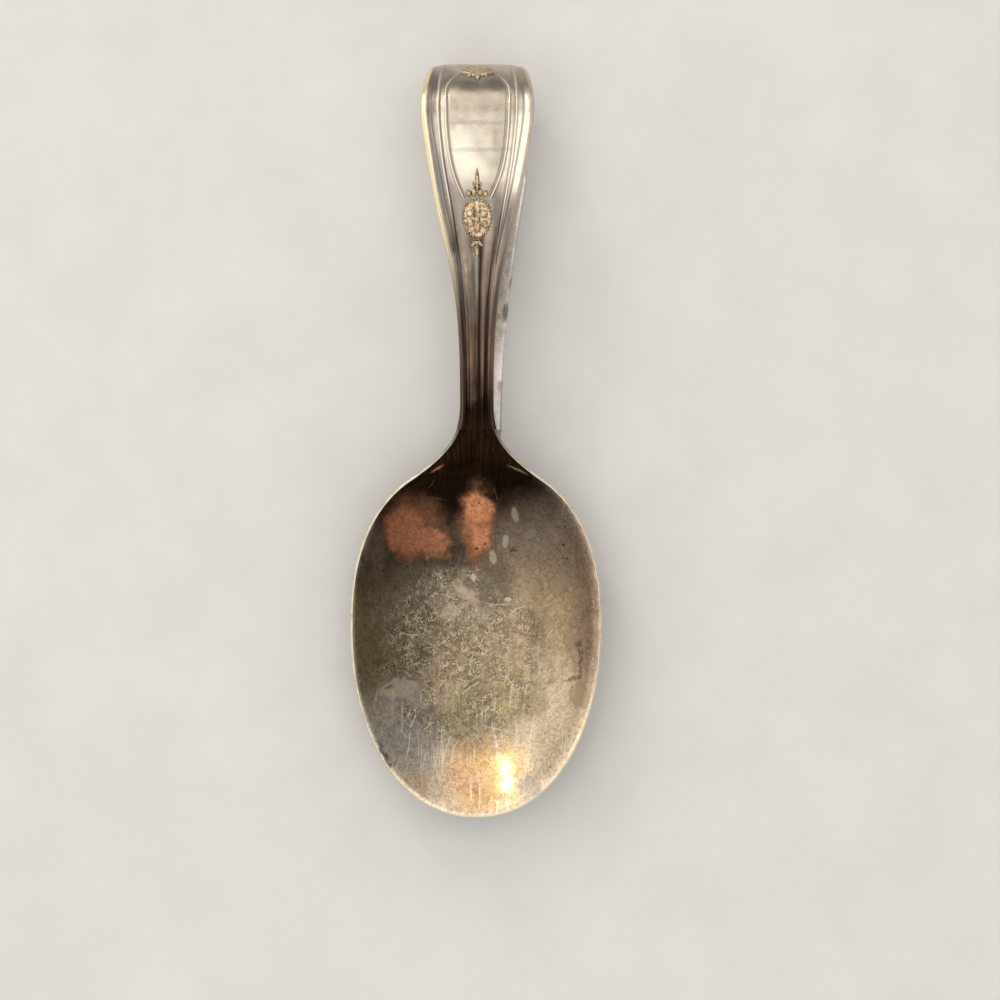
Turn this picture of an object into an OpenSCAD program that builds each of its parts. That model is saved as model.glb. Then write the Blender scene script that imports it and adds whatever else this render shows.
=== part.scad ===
// Baby spoon with a loop handle. A struck oval bowl narrows into a stem, the stem widens into a decorated
// panel, and the strip folds back over at the end and returns underneath as a plain strap to the bowl's heel.
// Lengths are in millimetres. X runs across, Y from the bowl's tip to the loop, and Z up from the table.

/* [Bowl] */
// Width of the bowl over its rim
bowl_w = 31.8; // [28:0.1:35]
// Length from the bowl's widest line to its tip
bowl_tip_l = 24.4; // [21:0.1:28]
// Length from the widest line to the oval's neck end
bowl_neck_l = 20.6; // [18:0.1:24]
// Height of the rim over the table at the widest line
bowl_h = 8.3; // [7:0.1:10]
// How far the rim drops from the widest line to the tip
tip_drop = 0.3; // [0:0.05:0.8]
// How far the rim rises from the widest line to the neck
neck_rise = 1.3; // [0.6:0.05:2]
// Metal thickness at the bottom of the bowl
wall_t = 1.15; // [0.8:0.05:1.5]
// Width of the flat lip on top of the rim
lip_w = 0.9; // [0.6:0.05:1.2]
// Height of the rim's outer edge
edge_h = 0.5; // [0.35:0.05:0.8]
// Depth worn off the bottom where the bowl rests
wear_d = 0.06; // [0.03:0.01:0.12]
// Squareness of the oval's tip half, 0 is an ellipse
tip_square_share = 0.15; // [0:0.05:0.4]
// Squareness of the oval's neck half, 0 is an ellipse
neck_square_share = 0.3; // [0.1:0.05:0.45]
// Roundness of the dish, higher is flatter below
dish_round_share = 0.55; // [0.3:0.05:0.8]

/* [Neck and heel] */
// Length from the oval's neck end to the seam with the stem
neck_l = 4; // [3:0.1:6]
// Width of the neck at the seam with the stem
seam_w = 5.04; // [4.7:0.02:6]
// Where the shoulder leaves the oval, along its neck half
shoulder_share = 0.885; // [0.84:0.005:0.91]
// How strongly the shoulder curve is pulled
pull_share = 0.3; // [0.2:0.01:0.36]
// Length over which the bowl thickens before the oval's end
thicken_l = 5.5; // [3:0.1:8]
// How far the back's hollow reaches past the oval's neck end
back_reach_l = 0.8; // [0.4:0.05:1.2]
// Thickness of the heel drop at the seam
heel_t = 1.5; // [1.3:0.05:1.8]

/* [Stem] */
// Length of the stem from the seam to the panel
stem_l = 20; // [16:0.1:25]
// Width of the stem at its narrowest
stem_w = 4.2; // [3.6:0.05:4.6]
// Thickness of the stem at the seam
stem_t = 2; // [1.7:0.05:2.4]
// Length of the flare from the seam to the narrow stem
flare_l = 3.1; // [2.4:0.1:4.5]
// Rounding of the front edges
edge_r = 0.3; // [0.2:0.01:0.34]
// Rounding of the back edges
back_r = 0.2; // [0.12:0.01:0.22]
// Height of the ridges and threads on the front
relief_d = 0.14; // [0.08:0.01:0.18]

/* [Handle panel] */
// Length of the panel from the stem to the middle of the bend
panel_l = 17.75; // [15:0.05:21]
// Width of the panel where it leaves the stem
panel_start_w = 6.8; // [6.2:0.05:7.6]
// Width of the panel where it meets the bend
panel_end_w = 13.7; // [12:0.05:13.9]
// Thickness of the panel
panel_t = 1.4; // [1.3:0.05:1.6]
// Angle at which the panel still rises
panel_rise_deg = 5; // [3:0.5:8]
// How far the panel's edges fall away from its flat field
panel_crown = 0.3; // [0.1:0.01:0.4]

/* [Loop] */
// Outside radius of the bend
bend_r = 8.25; // [7.5:0.05:9]
// Greatest width of the handle, just past the panel
handle_w = 14.1; // [14:0.05:15.5]
// Width of the strip at the very end of the loop
turn_w = 11.8; // [11.2:0.05:13]
// Width of the strip where the loop rests
bend_w = 10.7; // [9.5:0.05:11]
// How far the edges fall away over the bend
bend_crown = 0.5; // [0.2:0.01:0.55]
// Length of the straight that the loop rests on
rest_l = 6; // [4:0.1:8]

/* [Return strap] */
// Thickness of the return strap
strap_t = 1.2; // [1.1:0.05:1.3]
// Narrowest width of the return strap
strap_w = 4.4; // [3.8:0.05:5]
// How far the strap leans to one side of the stem
strap_lean = 0.9; // [0:0.05:1.2]

/* [Ornament] */
// Height of the ornament over the panel's field
ornament_h = 0.5; // [0.35:0.05:0.65]
// Width of the medallion
medallion_w = 4; // [3.6:0.05:4.2]
// Length of the medallion
medallion_l = 5; // [4.4:0.05:5.4]
// Place of the medallion's middle along the panel
medallion_place = 5.95; // [5.7:0.05:6.2]
// Width of the beads round the medallion
bead_w = 0.44; // [0.36:0.02:0.5]
// Length of the tall bud of the spray
bud_l = 3.7; // [3.2:0.05:4.2]
// Width of the tall bud
bud_w = 0.6; // [0.5:0.05:0.8]
// Width of a round lobe at the spray's foot
lobe_w = 0.84; // [0.7:0.02:0.96]
// Gap between the medallion and the pieces above and below it
ornament_gap = 0.12; // [0.05:0.01:0.2]
// Length of the husk pendant
pendant_l = 2.65; // [2.1:0.05:2.7]
// Width of a husk
husk_w = 0.8; // [0.6:0.05:0.9]
// Greatest width of the palmette on the bend
palmette_w = 4.5; // [4:0.05:5.5]

/* [Hidden] */
$fn = 48;

// Places along the spoon
total_l = bowl_tip_l + bowl_neck_l + neck_l + stem_l + panel_l + bend_r;
tip_y = -total_l / 2;
wide_y = tip_y + bowl_tip_l;
oval_end_y = wide_y + bowl_neck_l;
seam_y = oval_end_y + neck_l;
panel_y = seam_y + stem_l;
bend_y = panel_y + panel_l;
rest_y = bend_y - rest_l;

// Heights
seam_z = bowl_h + neck_rise;
arc_y = bend_y - bend_r * sin(panel_rise_deg);
arc_z = bend_r + bend_r * cos(panel_rise_deg);
panel_z = arc_z - (arc_y - panel_y) * tan(panel_rise_deg);
strap_z = seam_z - stem_t - strap_t;

// Finish colours for the preview
silver = [0.72, 0.67, 0.58];
brown = [0.55, 0.43, 0.28];

// Steps round the outline and along the strips
shoulder_steps = 7;
neck_steps = 8;
tip_steps = 13;
seam_steps = 6;
stem_steps = 22;
panel_steps = 8;
over_steps = 12;
under_steps = 12;
rest_steps = 2;
strap_steps = 22;

// Small helpers for curves
function mix(a, b, s) = a + (b - a) * s;
function ease(s) = let (c = min(max(s, 0), 1)) c * c * (3 - 2 * c);
function unit(v) = v / norm(v);
function bezier(p, s) = p[0] * (1 - s) ^ 3 + 3 * p[1] * s * (1 - s) ^ 2 + 3 * p[2] * s ^ 2 * (1 - s) + p[3] * s ^ 3;
function bezier_turn(p, s) = unit((p[1] - p[0]) * (1 - s) ^ 2 + 2 * (p[2] - p[1]) * s * (1 - s) + (p[3] - p[2]) * s ^ 2);

// Plan outline of the bowl, drawn inset by a given amount
tip_power = 2 + tip_square_share;
neck_power = 2 + neck_square_share;
shoulder_deg = asin(shoulder_share ^ (neck_power / 2));
function neck_arc(inset, deg) = [
    (bowl_w / 2 - inset) * cos(deg) ^ (2 / neck_power),
    wide_y + (bowl_neck_l - inset) * sin(deg) ^ (2 / neck_power)
];
function tip_arc(inset, deg) = [
    (bowl_w / 2 - inset) * max(cos(deg), 0) ^ (2 / tip_power),
    wide_y - (bowl_tip_l - inset) * sin(deg) ^ (2 / tip_power)
];
flare_slope = (seam_w - stem_w) / flare_l;
function shoulder_curve(inset) = let (
    from = neck_arc(inset, shoulder_deg),
    along = unit(neck_arc(inset, shoulder_deg + 1) - neck_arc(inset, shoulder_deg - 1)),
    to = [seam_w / 2 - inset, seam_y],
    pull = pull_share * norm(to - from)
) [to, to + pull * unit([flare_slope, -1]), from + pull * along, from];
function right_side(inset) = concat(
    [for (i = [0:shoulder_steps]) bezier(shoulder_curve(inset), i / shoulder_steps)],
    [for (i = [1:neck_steps]) neck_arc(inset, shoulder_deg * (1 - i / neck_steps))],
    [for (i = [1:tip_steps]) tip_arc(inset, 90 * i / tip_steps)]
);
side_n = shoulder_steps + neck_steps + tip_steps;
function outline(inset) = let (side = right_side(inset)) concat(
    side,
    [for (i = [1:side_n]) [-side[side_n - i][0], side[side_n - i][1]]],
    [for (i = [1:seam_steps - 1]) [mix(-side[0][0], side[0][0], i / seam_steps), seam_y]]
);
loop_n = 2 * side_n + seam_steps;
function on_seam(k) = k > 2 * side_n;

// Heights of the bowl's rim, dish and back
dish_power = 2 + dish_round_share;
rim_soft_share = 0.05;
neck_soft_share = 0.25;
soft_reach_share = 0.3;
function soft_clip(s, soft) = (s + sqrt(s * s + soft * soft)) / 2;
function softness(p) = mix(rim_soft_share, neck_soft_share,
    ease((p[1] - wide_y) / bowl_neck_l) * (1 - ease(abs(p[0]) / (soft_reach_share * bowl_w / 2))));
function oval_measure(p, inset, past) = let (
    power = p[1] > wide_y ? neck_power : tip_power,
    reach = (p[1] > wide_y ? bowl_neck_l + past : bowl_tip_l) - inset
) ((abs(p[0]) / (bowl_w / 2 - inset)) ^ power + (abs(p[1] - wide_y) / reach) ^ power) ^ (1 / power);
function dish(p, inset, past) = soft_clip(1 - oval_measure(p, inset, past) ^ dish_power, softness(p))
    * (1 - ease((p[1] - oval_end_y) / neck_l));
function rim_z(y) = y > wide_y
    ? bowl_h + neck_rise * ease((y - wide_y) / (seam_y - wide_y))
    : bowl_h - tip_drop * ((wide_y - y) / bowl_tip_l) ^ 2;
thicken_y = oval_end_y - thicken_l;
function edge_depth(y) = mix(edge_h, stem_t, ease((y - thicken_y) / (seam_y - thicken_y)));
function dish_z(p) = rim_z(p[1]) - (bowl_h - wall_t) * dish(p, lip_w, 0);
function back_z(p) = max(0,
    rim_z(p[1]) - edge_depth(p[1]) - (bowl_h - edge_h + wear_d) * dish(p, 0, back_reach_l));

// Rings of the bowl, from the middle of the dish over the rim to the middle of the back
ring_shares = [0.11, 0.22, 0.34, 0.46, 0.57, 0.67, 0.76, 0.83, 0.89, 0.93, 0.965, 1];
rim_inset_shares = [0.68, 0.34, 0.1, 0];
rim_fall_shares = [0.02, 0.04, 0.3, 0.62];
seam_fall_shares = [0.12, 0.3, 0.5, 0.75];
middle = [0, wide_y];
lip_loop = outline(lip_w);
edge_loop = outline(0);
function dish_ring(s) = [for (q = lip_loop) let (p = middle + s * (q - middle)) [p[0], p[1], dish_z(p)]];
function back_ring(s) = [for (q = edge_loop) let (p = middle + s * (q - middle)) [p[0], p[1], back_z(p)]];
function rim_ring(j) = let (ring = outline(lip_w * rim_inset_shares[j])) [
    for (k = [0:loop_n - 1]) let (p = ring[k]) [
        p[0], p[1],
        rim_z(p[1]) - (on_seam(k) ? stem_t * seam_fall_shares[j] : edge_h * rim_fall_shares[j])
    ]
];

// Triangles between rings of equal count, closed round, and the fans that end them
function ring_bands(rings, n) = [
    for (i = [0:rings - 2], k = [0:n - 1], half = [0, 1]) let (
        a = i * n + k,
        b = i * n + (k + 1) % n
    ) half == 0 ? [a, b, b + n] : [a, b + n, a + n]
];

module bowl() {
    ring_n = len(ring_shares);
    rings = concat(
        [for (s = ring_shares) dish_ring(s)],
        [for (j = [0:len(rim_inset_shares) - 1]) rim_ring(j)],
        [for (i = [1:ring_n]) back_ring(ring_shares[ring_n - i])]
    );
    points = concat([for (r = rings) each r],
        [[0, wide_y, dish_z(middle)], [0, wide_y, back_z(middle)]]);
    last = (len(rings) - 1) * loop_n;
    top_middle = len(points) - 2;
    faces = concat(
        [for (f = ring_bands(len(rings), loop_n)) [f[0], f[2], f[1]]],
        [for (k = [0:loop_n - 1]) [top_middle, k, (k + 1) % loop_n]],
        [for (k = [0:loop_n - 1]) [top_middle + 1, last + (k + 1) % loop_n, last + k]]
    );
    color(silver) polyhedron(points, faces, convexity = 4);
}

// Tongue of metal left on the bowl's back, where the strap comes home against the neck;
// it leans with the strap where the two meet and comes back to the middle at its own end
heel_rows = 7;
heel_taper_shares = [1, 0.97, 0.92, 0.84, 0.7, 0.5, 0.26];
heel_side_share = 0.72;
module heel_drop() {
    cols = seam_steps;
    order = [for (c = [0:cols]) c == cols ? 0 : 2 * side_n + c];
    rows = [for (i = [0:heel_rows - 1]) back_ring(ring_shares[len(ring_shares) - 1 - i])];
    seat = [for (i = [0:heel_rows - 1], c = [0:cols]) rows[i][order[c]]];
    hang = [for (i = [0:heel_rows - 1], c = [0:cols]) let (
        q = rows[i][order[c]],
        side = 2 * c / cols - 1,
        lean = strap_lean * (1 - i / (heel_rows - 1))
    ) [q[0] + lean, q[1], q[2] - heel_t * heel_taper_shares[i] * (1 - heel_side_share * side * side)]];
    n = cols + 1;
    m = heel_rows * n;
    faces = concat(
        [for (i = [0:heel_rows - 2], c = [0:cols - 1], f = [0, 1]) let (a = i * n + c)
            f == 0 ? [a, a + 1, a + n + 1] : [a, a + n + 1, a + n]],
        [for (i = [0:heel_rows - 2], c = [0:cols - 1], f = [0, 1]) let (a = m + i * n + c)
            f == 0 ? [a, a + n + 1, a + 1] : [a, a + n, a + n + 1]],
        [for (c = [0:cols - 1], f = [0, 1]) f == 0 ? [c, c + m + 1, c + 1] : [c, c + m, c + m + 1]],
        [for (c = [0:cols - 1], f = [0, 1]) let (a = m - n + c)
            f == 0 ? [a, a + 1, a + m + 1] : [a, a + m + 1, a + m]],
        [for (i = [0:heel_rows - 2], f = [0, 1]) let (a = i * n)
            f == 0 ? [a, a + n, a + n + m] : [a, a + n + m, a + m]],
        [for (i = [0:heel_rows - 2], f = [0, 1]) let (a = i * n + cols)
            f == 0 ? [a, a + n + m, a + n] : [a, a + m, a + n + m]]
    );
    color(silver) polyhedron(concat(seat, hang), faces, convexity = 4);
}

// Cross-section of the strip. Across it lie ridges on the stem and threads round the panel's field.
across_shares = [0, 0.2, 0.4, 0.5, 0.55, 0.6, 0.65, 0.7];
panel_relief_shares = [-1, -1, -1, -1, -1.5, 0.5, -1.2, 0];
stem_relief_shares = [-1, -0.2, 0.9, 0, -0.9, 0, 0.6, -0.4];
flat_share = 0.5;
corner_share = 0.3;
across_n = len(across_shares);
function half_row(w, crown, plain, panelled) = concat(
    [for (i = [0:across_n - 1]) let (
        s = across_shares[i],
        fall = max(s - flat_share, 0) / (1 - flat_share)
    ) [s * w, -crown * fall * fall
        + relief_d * plain * mix(stem_relief_shares[i], panel_relief_shares[i], panelled)]],
    [[w - edge_r, -crown], [w - edge_r * corner_share, -crown - edge_r * corner_share], [w, -crown - edge_r]]
);
row_n = across_n + 3;
function full_row(half) = concat(
    [for (i = [1:len(half) - 1]) let (p = half[len(half) - i]) [-p[0], p[1]]],
    half
);
function back_row(w, t) = let (
    tops = full_row(half_row(w, 0, 0, 0))
) [for (p = tops) [p[0], abs(p[0]) > w - back_r * corner_share ? back_r - t
    : abs(p[0]) > w - edge_r * (1 + corner_share) / 2 ? back_r * corner_share - t : -t]];
// A station holds the path point, its outward normal, half width, thickness, crown, relief and lean
function section(st) = let (
    top = full_row(half_row(st[2], st[4], st[5], st[6])),
    back = back_row(st[2], st[3]),
    place = function (q) [st[7] + q[0], st[0][0] + st[1][0] * q[1], st[0][1] + st[1][1] * q[1]]
) concat([for (q = top) place(q)], [for (i = [1:len(back)]) place(back[len(back) - i])]);
module strip(stations) {
    n = len(stations);
    k = 2 * (2 * row_n - 1);
    half = k / 2;
    points = [for (st = stations) each section(st)];
    last = (n - 1) * k;
    faces = concat(
        [for (f = ring_bands(n, k)) [f[0], f[2], f[1]]],
        [for (i = [0:half - 2], f = [0, 1]) f == 0 ? [i, i + 1, k - 2 - i] : [i, k - 2 - i, k - 1 - i]],
        [for (i = [0:half - 2], f = [0, 1]) let (a = last + i, b = last + k - 1 - i)
            f == 0 ? [a, b - 1, a + 1] : [a, b, b - 1]]
    );
    color(silver) polyhedron(points, faces, convexity = 6);
}
function left_of(d) = [-d[1], d[0]];

// Stem: rises from the neck, narrow, then widening into the panel
stem_power = 3.4;
stem_reach_share = 0.36;
panelled_from_share = 0.55;
ridge_fade_share = 0.6;
ridge_seam_share = 0.3;
stem_path = [
    [seam_y, seam_z],
    [seam_y + stem_reach_share * stem_l, seam_z],
    [panel_y, panel_z] - stem_reach_share * stem_l * [cos(panel_rise_deg), sin(panel_rise_deg)],
    [panel_y, panel_z]
];
function stem_half(y) = let (
    s = (y - seam_y) / stem_l,
    f = 1 - min((y - seam_y) / flare_l, 1)
) stem_w / 2 + (seam_w - stem_w) / 2 * f * f + (panel_start_w - stem_w) / 2 * s ^ stem_power;
stem_stations = [for (i = [0:stem_steps]) let (
    s = i / stem_steps,
    p = bezier(stem_path, s),
    along = (p[0] - seam_y) / stem_l
) [p, left_of(bezier_turn(stem_path, s)), stem_half(p[0]), mix(stem_t, panel_t, along),
    mix(edge_r * corner_share, panel_crown, ease(along)),
    mix(ridge_seam_share, 1, ease((p[0] - seam_y) / (flare_l * ridge_fade_share))),
    ease((along - panelled_from_share) / (1 - panelled_from_share)), 0]];
module stem() {
    strip(stem_stations);
}

// Panel: flat and straight in its field, so that the ornament seats on it
panel_bulge_share = 0.25;
panel_normal = [-sin(panel_rise_deg), cos(panel_rise_deg)];
panel_stations = [for (i = [0:panel_steps]) let (s = i / panel_steps) [
    [mix(panel_y, arc_y, s), mix(panel_z, arc_z, s)], panel_normal,
    mix(panel_start_w, panel_end_w, s + panel_bulge_share * s * (1 - s)) / 2, panel_t, panel_crown, 1, 1, 0]];
module handle_panel() {
    strip(panel_stations);
}

// Bend: carries on from the panel, turns under and lies flat where the loop rests
swell_deg = 16;
crown_deg = 80;
under_deg = 150;
function bend_half(deg) = deg < swell_deg
    ? let (s = (swell_deg - deg) / (swell_deg + panel_rise_deg)) (handle_w - (handle_w - panel_end_w) * s * s) / 2
    : deg < 90
    ? mix(handle_w, turn_w, ease((deg - swell_deg) / (90 - swell_deg))) / 2
    : mix(turn_w, bend_w, ease((deg - 90) / (under_deg - 90))) / 2;
function bend_crown_at(deg) = deg < crown_deg
    ? mix(panel_crown, bend_crown, ease((deg + panel_rise_deg) / crown_deg))
    : bend_crown * (1 - ease((deg - crown_deg) / 90));
function bend_station(deg) = [
    [bend_y + bend_r * sin(deg), bend_r + bend_r * cos(deg)], [sin(deg), cos(deg)],
    bend_half(deg), mix(panel_t, strap_t, ease(deg / 180)), bend_crown_at(deg),
    1 - ease((deg - swell_deg) / 90), 1, strap_lean * ease((deg - 90) / 90)];
bend_stations = concat(
    [for (i = [0:over_steps]) bend_station(mix(-panel_rise_deg, 90, i / over_steps))],
    [for (i = [1:under_steps]) bend_station(mix(90, 180, i / under_steps))]
);
module loop_bend() {
    strip(concat(bend_stations, [for (i = [1:rest_steps])
        [[bend_y - rest_l * i / rest_steps, 0], [0, -1], bend_w / 2, strap_t, 0, 0, 0, strap_lean]]));
}

// Return strap: rises from the rest to the neck's underside
strap_power = 1.8;
strap_reach_share = 0.34;
strap_path = [
    [rest_y, 0],
    [rest_y - strap_reach_share * (rest_y - seam_y), 0],
    [seam_y + strap_reach_share * (rest_y - seam_y), strap_z],
    [seam_y, strap_z]
];
strap_stations = [for (i = [0:strap_steps]) let (
    s = i / strap_steps,
    p = bezier(strap_path, s),
    along = (p[0] - seam_y) / (rest_y - seam_y)
) [p, left_of(bezier_turn(strap_path, s)), mix(strap_w, bend_w, max(along, 0) ^ strap_power) / 2,
    strap_t, 0, 0, 0, strap_lean]];
module return_strap() {
    strip(strap_stations);
}

// Ornament: everything stands on the panel's field and is cut off level with it
module on_field(place) {
    translate([0, panel_y, panel_z])
        rotate([panel_rise_deg, 0, 0])
            translate([0, place, -relief_d])
                children();
}
module above_field() {
    intersection() {
        children();
        translate([-handle_w / 2, -panel_l / 2, 0])
            cube([handle_w, panel_l, bend_r]);
    }
}
module seed(w, l, h) {
    scale([w / 2, l / 2, h])
        sphere(1);
}

beads = 28;
petals = 8;
petal_place_share = 0.52;
petal_l_share = 0.42;
petal_w_share = 0.22;
plate_h_share = 0.4;
boss_share = 0.3;
bead_facets = 16;
module medallion() {
    ring_r = (medallion_w - bead_w) / 2;
    stretch = (medallion_l - bead_w) / (medallion_w - bead_w);
    color(brown) on_field(medallion_place) above_field() {
        scale([1, stretch, 1])
            cylinder(r = ring_r, h = ornament_h * plate_h_share);
        for (i = [0:beads - 1])
            translate([ring_r * sin(360 * i / beads), ring_r * stretch * cos(360 * i / beads),
                ornament_h * plate_h_share])
                sphere(bead_w / 2, $fn = bead_facets);
        for (i = [0:petals - 1])
            rotate(360 * i / petals)
                translate([0, ring_r * petal_place_share, ornament_h * plate_h_share])
                    seed(ring_r * petal_w_share * 2, ring_r * petal_l_share * 2, ornament_h * (1 - plate_h_share));
        translate([0, 0, ornament_h * plate_h_share])
            sphere(ring_r * boss_share);
    }
}

lobe_place_shares = [0.45, 1.2];
lobe_rise_shares = [0.62, 0.5];
module leaf_spray() {
    foot = medallion_place + medallion_l / 2 + ornament_gap;
    color(brown) on_field(foot) above_field() {
        translate([0, bud_l / 2, 0])
            seed(bud_w, bud_l, ornament_h);
        for (side = [-1, 1], i = [0:len(lobe_place_shares) - 1])
            translate([side * lobe_w * lobe_place_shares[i], lobe_w * lobe_rise_shares[i], 0])
                sphere(lobe_w / 2);
    }
}

husk_degs = [0, 42, -42];
husk_length_shares = [1, 0.44, 0.44];
husk_width_shares = [0.8, 1, 1];
husk_height_shares = [1, 0.8, 0.8];
module husk_pendant() {
    head = medallion_place - medallion_l / 2 - ornament_gap;
    color(brown) on_field(head) above_field()
        for (i = [0:len(husk_degs) - 1]) {
            l = pendant_l * husk_length_shares[i];
            rotate(husk_degs[i])
                translate([0, -l / 2, 0])
                    seed(husk_w * husk_width_shares[i], l, ornament_h * husk_height_shares[i]);
        }
}

// Palmette over the bend. Its seat lies on the bend's own facets, row by row.
palmette_from = 6;
palmette_facets = 4;
palmette_cols = 12;
palmette_half_shares = [0.14, 0.34, 0.56, 0.78, 0.94, 1, 0.94, 0.74, 0.4];
palmette_edge_share = 0.25;
palmette_lobes = 5;
function palmette_frame(j) = let (
    a = bend_stations[palmette_from + floor(j / 2)],
    b = bend_stations[palmette_from + floor(j / 2) + 1],
    s = j % 2 / 2,
    level = function (st) st[0] - st[1] * relief_d * st[5]
) [mix(level(a), level(b), s), unit(mix(a[1], b[1], s))];
module tip_palmette() {
    rows = 2 * palmette_facets + 1;
    n = palmette_cols + 1;
    m = rows * n;
    seat = [for (j = [0:rows - 1], c = [0:palmette_cols]) let (
        f = palmette_frame(j),
        x = palmette_w / 2 * palmette_half_shares[j] * (2 * c / palmette_cols - 1)
    ) [x, f[0][0], f[0][1]]];
    face = [for (j = [0:rows - 1], c = [0:palmette_cols]) let (
        f = palmette_frame(j),
        side = 2 * c / palmette_cols - 1,
        along = j / (rows - 1),
        lobe = abs(cos(90 * palmette_lobes * side)),
        dome = sqrt(1 - side * side * (1 - palmette_edge_share)) * (1 - along * along / 2),
        h = ornament_h * mix(palmette_edge_share, 1, dome * mix(1, lobe, along)),
        x = palmette_w / 2 * palmette_half_shares[j] * side
    ) [x, f[0][0] + f[1][0] * h, f[0][1] + f[1][1] * h]];
    faces = concat(
        [for (j = [0:rows - 2], c = [0:palmette_cols - 1], f = [0, 1]) let (a = j * n + c)
            f == 0 ? [a, a + 1, a + n + 1] : [a, a + n + 1, a + n]],
        [for (j = [0:rows - 2], c = [0:palmette_cols - 1], f = [0, 1]) let (a = m + j * n + c)
            f == 0 ? [a, a + n + 1, a + 1] : [a, a + n, a + n + 1]],
        [for (c = [0:palmette_cols - 1], f = [0, 1]) f == 0 ? [c, c + m + 1, c + 1] : [c, c + m, c + m + 1]],
        [for (c = [0:palmette_cols - 1], f = [0, 1]) let (a = m - n + c)
            f == 0 ? [a, a + 1, a + m + 1] : [a, a + m + 1, a + m]],
        [for (j = [0:rows - 2], f = [0, 1]) let (a = j * n)
            f == 0 ? [a, a + n, a + n + m] : [a, a + n + m, a + m]],
        [for (j = [0:rows - 2], f = [0, 1]) let (a = j * n + palmette_cols)
            f == 0 ? [a, a + n + m, a + n] : [a, a + m, a + n + m]]
    );
    color(brown) polyhedron(concat(seat, face), faces, convexity = 4);
}

bowl();
heel_drop();
stem();
handle_panel();
loop_bend();
return_strap();
medallion();
leaf_spray();
husk_pendant();
tip_palmette();
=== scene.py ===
"""Looks of the baby spoon with a loop handle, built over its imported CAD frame. Sizes are in millimetres."""
import logging
import math
from dataclasses import dataclass
from enum import Enum
from typing import Callable

import bmesh
import bpy
import numpy as np
from mathutils import Matrix, Vector


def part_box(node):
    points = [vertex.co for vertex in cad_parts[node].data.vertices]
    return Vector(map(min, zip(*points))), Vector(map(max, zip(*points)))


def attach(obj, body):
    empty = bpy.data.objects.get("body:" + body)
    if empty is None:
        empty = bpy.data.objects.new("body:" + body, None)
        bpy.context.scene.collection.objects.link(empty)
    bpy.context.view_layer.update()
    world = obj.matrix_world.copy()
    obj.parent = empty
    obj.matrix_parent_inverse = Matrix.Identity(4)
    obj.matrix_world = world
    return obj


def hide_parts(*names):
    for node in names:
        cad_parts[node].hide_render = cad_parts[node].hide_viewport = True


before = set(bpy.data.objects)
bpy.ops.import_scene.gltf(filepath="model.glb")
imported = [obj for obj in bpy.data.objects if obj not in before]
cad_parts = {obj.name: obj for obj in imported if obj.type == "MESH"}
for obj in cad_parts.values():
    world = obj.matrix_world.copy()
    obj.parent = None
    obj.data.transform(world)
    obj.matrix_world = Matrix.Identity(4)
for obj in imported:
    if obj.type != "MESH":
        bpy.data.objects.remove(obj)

Array = np.ndarray
Numbers = Array | float
Pair = tuple[float, float]
Triple = tuple[float, float, float]
Mesh = bmesh.types.BMesh
Material = bpy.types.Material
Socket = bpy.types.NodeSocket
Feed = float | tuple | Socket

MM = 0.001
WELD = 2e-6
LOG = logging.getLogger("spoon")


# Curves that the blank is drawn with

def ease(share: Numbers) -> Numbers:
    """Returns the smooth step of a share, held to 0 and 1 outside."""
    held = np.clip(share, 0.0, 1.0)
    return held * held * (3 - 2 * held)


def mix(low: Numbers, high: Numbers, share: Numbers) -> Numbers:
    """Returns the value a share of the way from low to high."""
    return low + (high - low) * share


def hump(offset: Array, half: float) -> Array:
    """Returns a round hump of height 1 that ends at half on either side of 0."""
    held = np.clip(np.abs(offset) / half, 0.0, 1.0)
    return (1 - held * held) ** 2


def humps(place: Array, rows: tuple[Triple, ...]) -> Array:
    """Returns the sum of round humps, each given by its height, its place and its half width."""
    return sum(high * hump(place - at, half) for high, at, half in rows)


def corner_fall(inset: Array, radius: float) -> Array:
    """Returns how far a quarter-round edge has fallen at an inset from its outer face."""
    away = np.clip(radius - inset, 0.0, radius)
    return radius - np.sqrt(np.maximum(radius * radius - away * away, 0.0))


def bezier(knots: list[Array], share: Array) -> Array:
    """Returns points of a cubic Bezier curve, one row for each share.

    Args:
        knots: The four control points.
        share: Shares of the way along the curve.

    Returns:
        An array of points.
    """
    s = np.asarray(share, float)[:, None]
    return (knots[0] * (1 - s) ** 3 + 3 * knots[1] * s * (1 - s) ** 2
            + 3 * knots[2] * s ** 2 * (1 - s) + knots[3] * s ** 3)


def bezier_turn(knots: list[Array], share: Array) -> Array:
    """Returns unit tangents of a cubic Bezier curve.

    Args:
        knots: The four control points.
        share: Shares of the way along the curve.

    Returns:
        An array of unit vectors.
    """
    s = np.asarray(share, float)[:, None]
    way = ((knots[1] - knots[0]) * (1 - s) ** 2 + 2 * (knots[2] - knots[1]) * s * (1 - s)
           + (knots[3] - knots[2]) * s ** 2)
    return way / np.linalg.norm(way, axis=1)[:, None]


class Stretch(Enum):
    """The zones of the strip, with the CAD node that each one stands for."""

    STEM = "stem"
    PANEL = "handle_panel"
    BEND = "loop_bend"
    STRAP = "return_strap"


# Blanks: flat grids that are pressed to shape

@dataclass
class Pressing:
    """A grid that has been pressed: its places, and the shares painted on its corners.

    The paints are edge (worn bright), sunk (gone dark, with painted shade on the stem), high (rubbed, with
    painted highlights on the stem), face (1 in front, 0 behind), lane (share of the half width) and run
    (millimetres along the strip).
    """

    places: Array
    paint: dict[str, Array]


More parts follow.
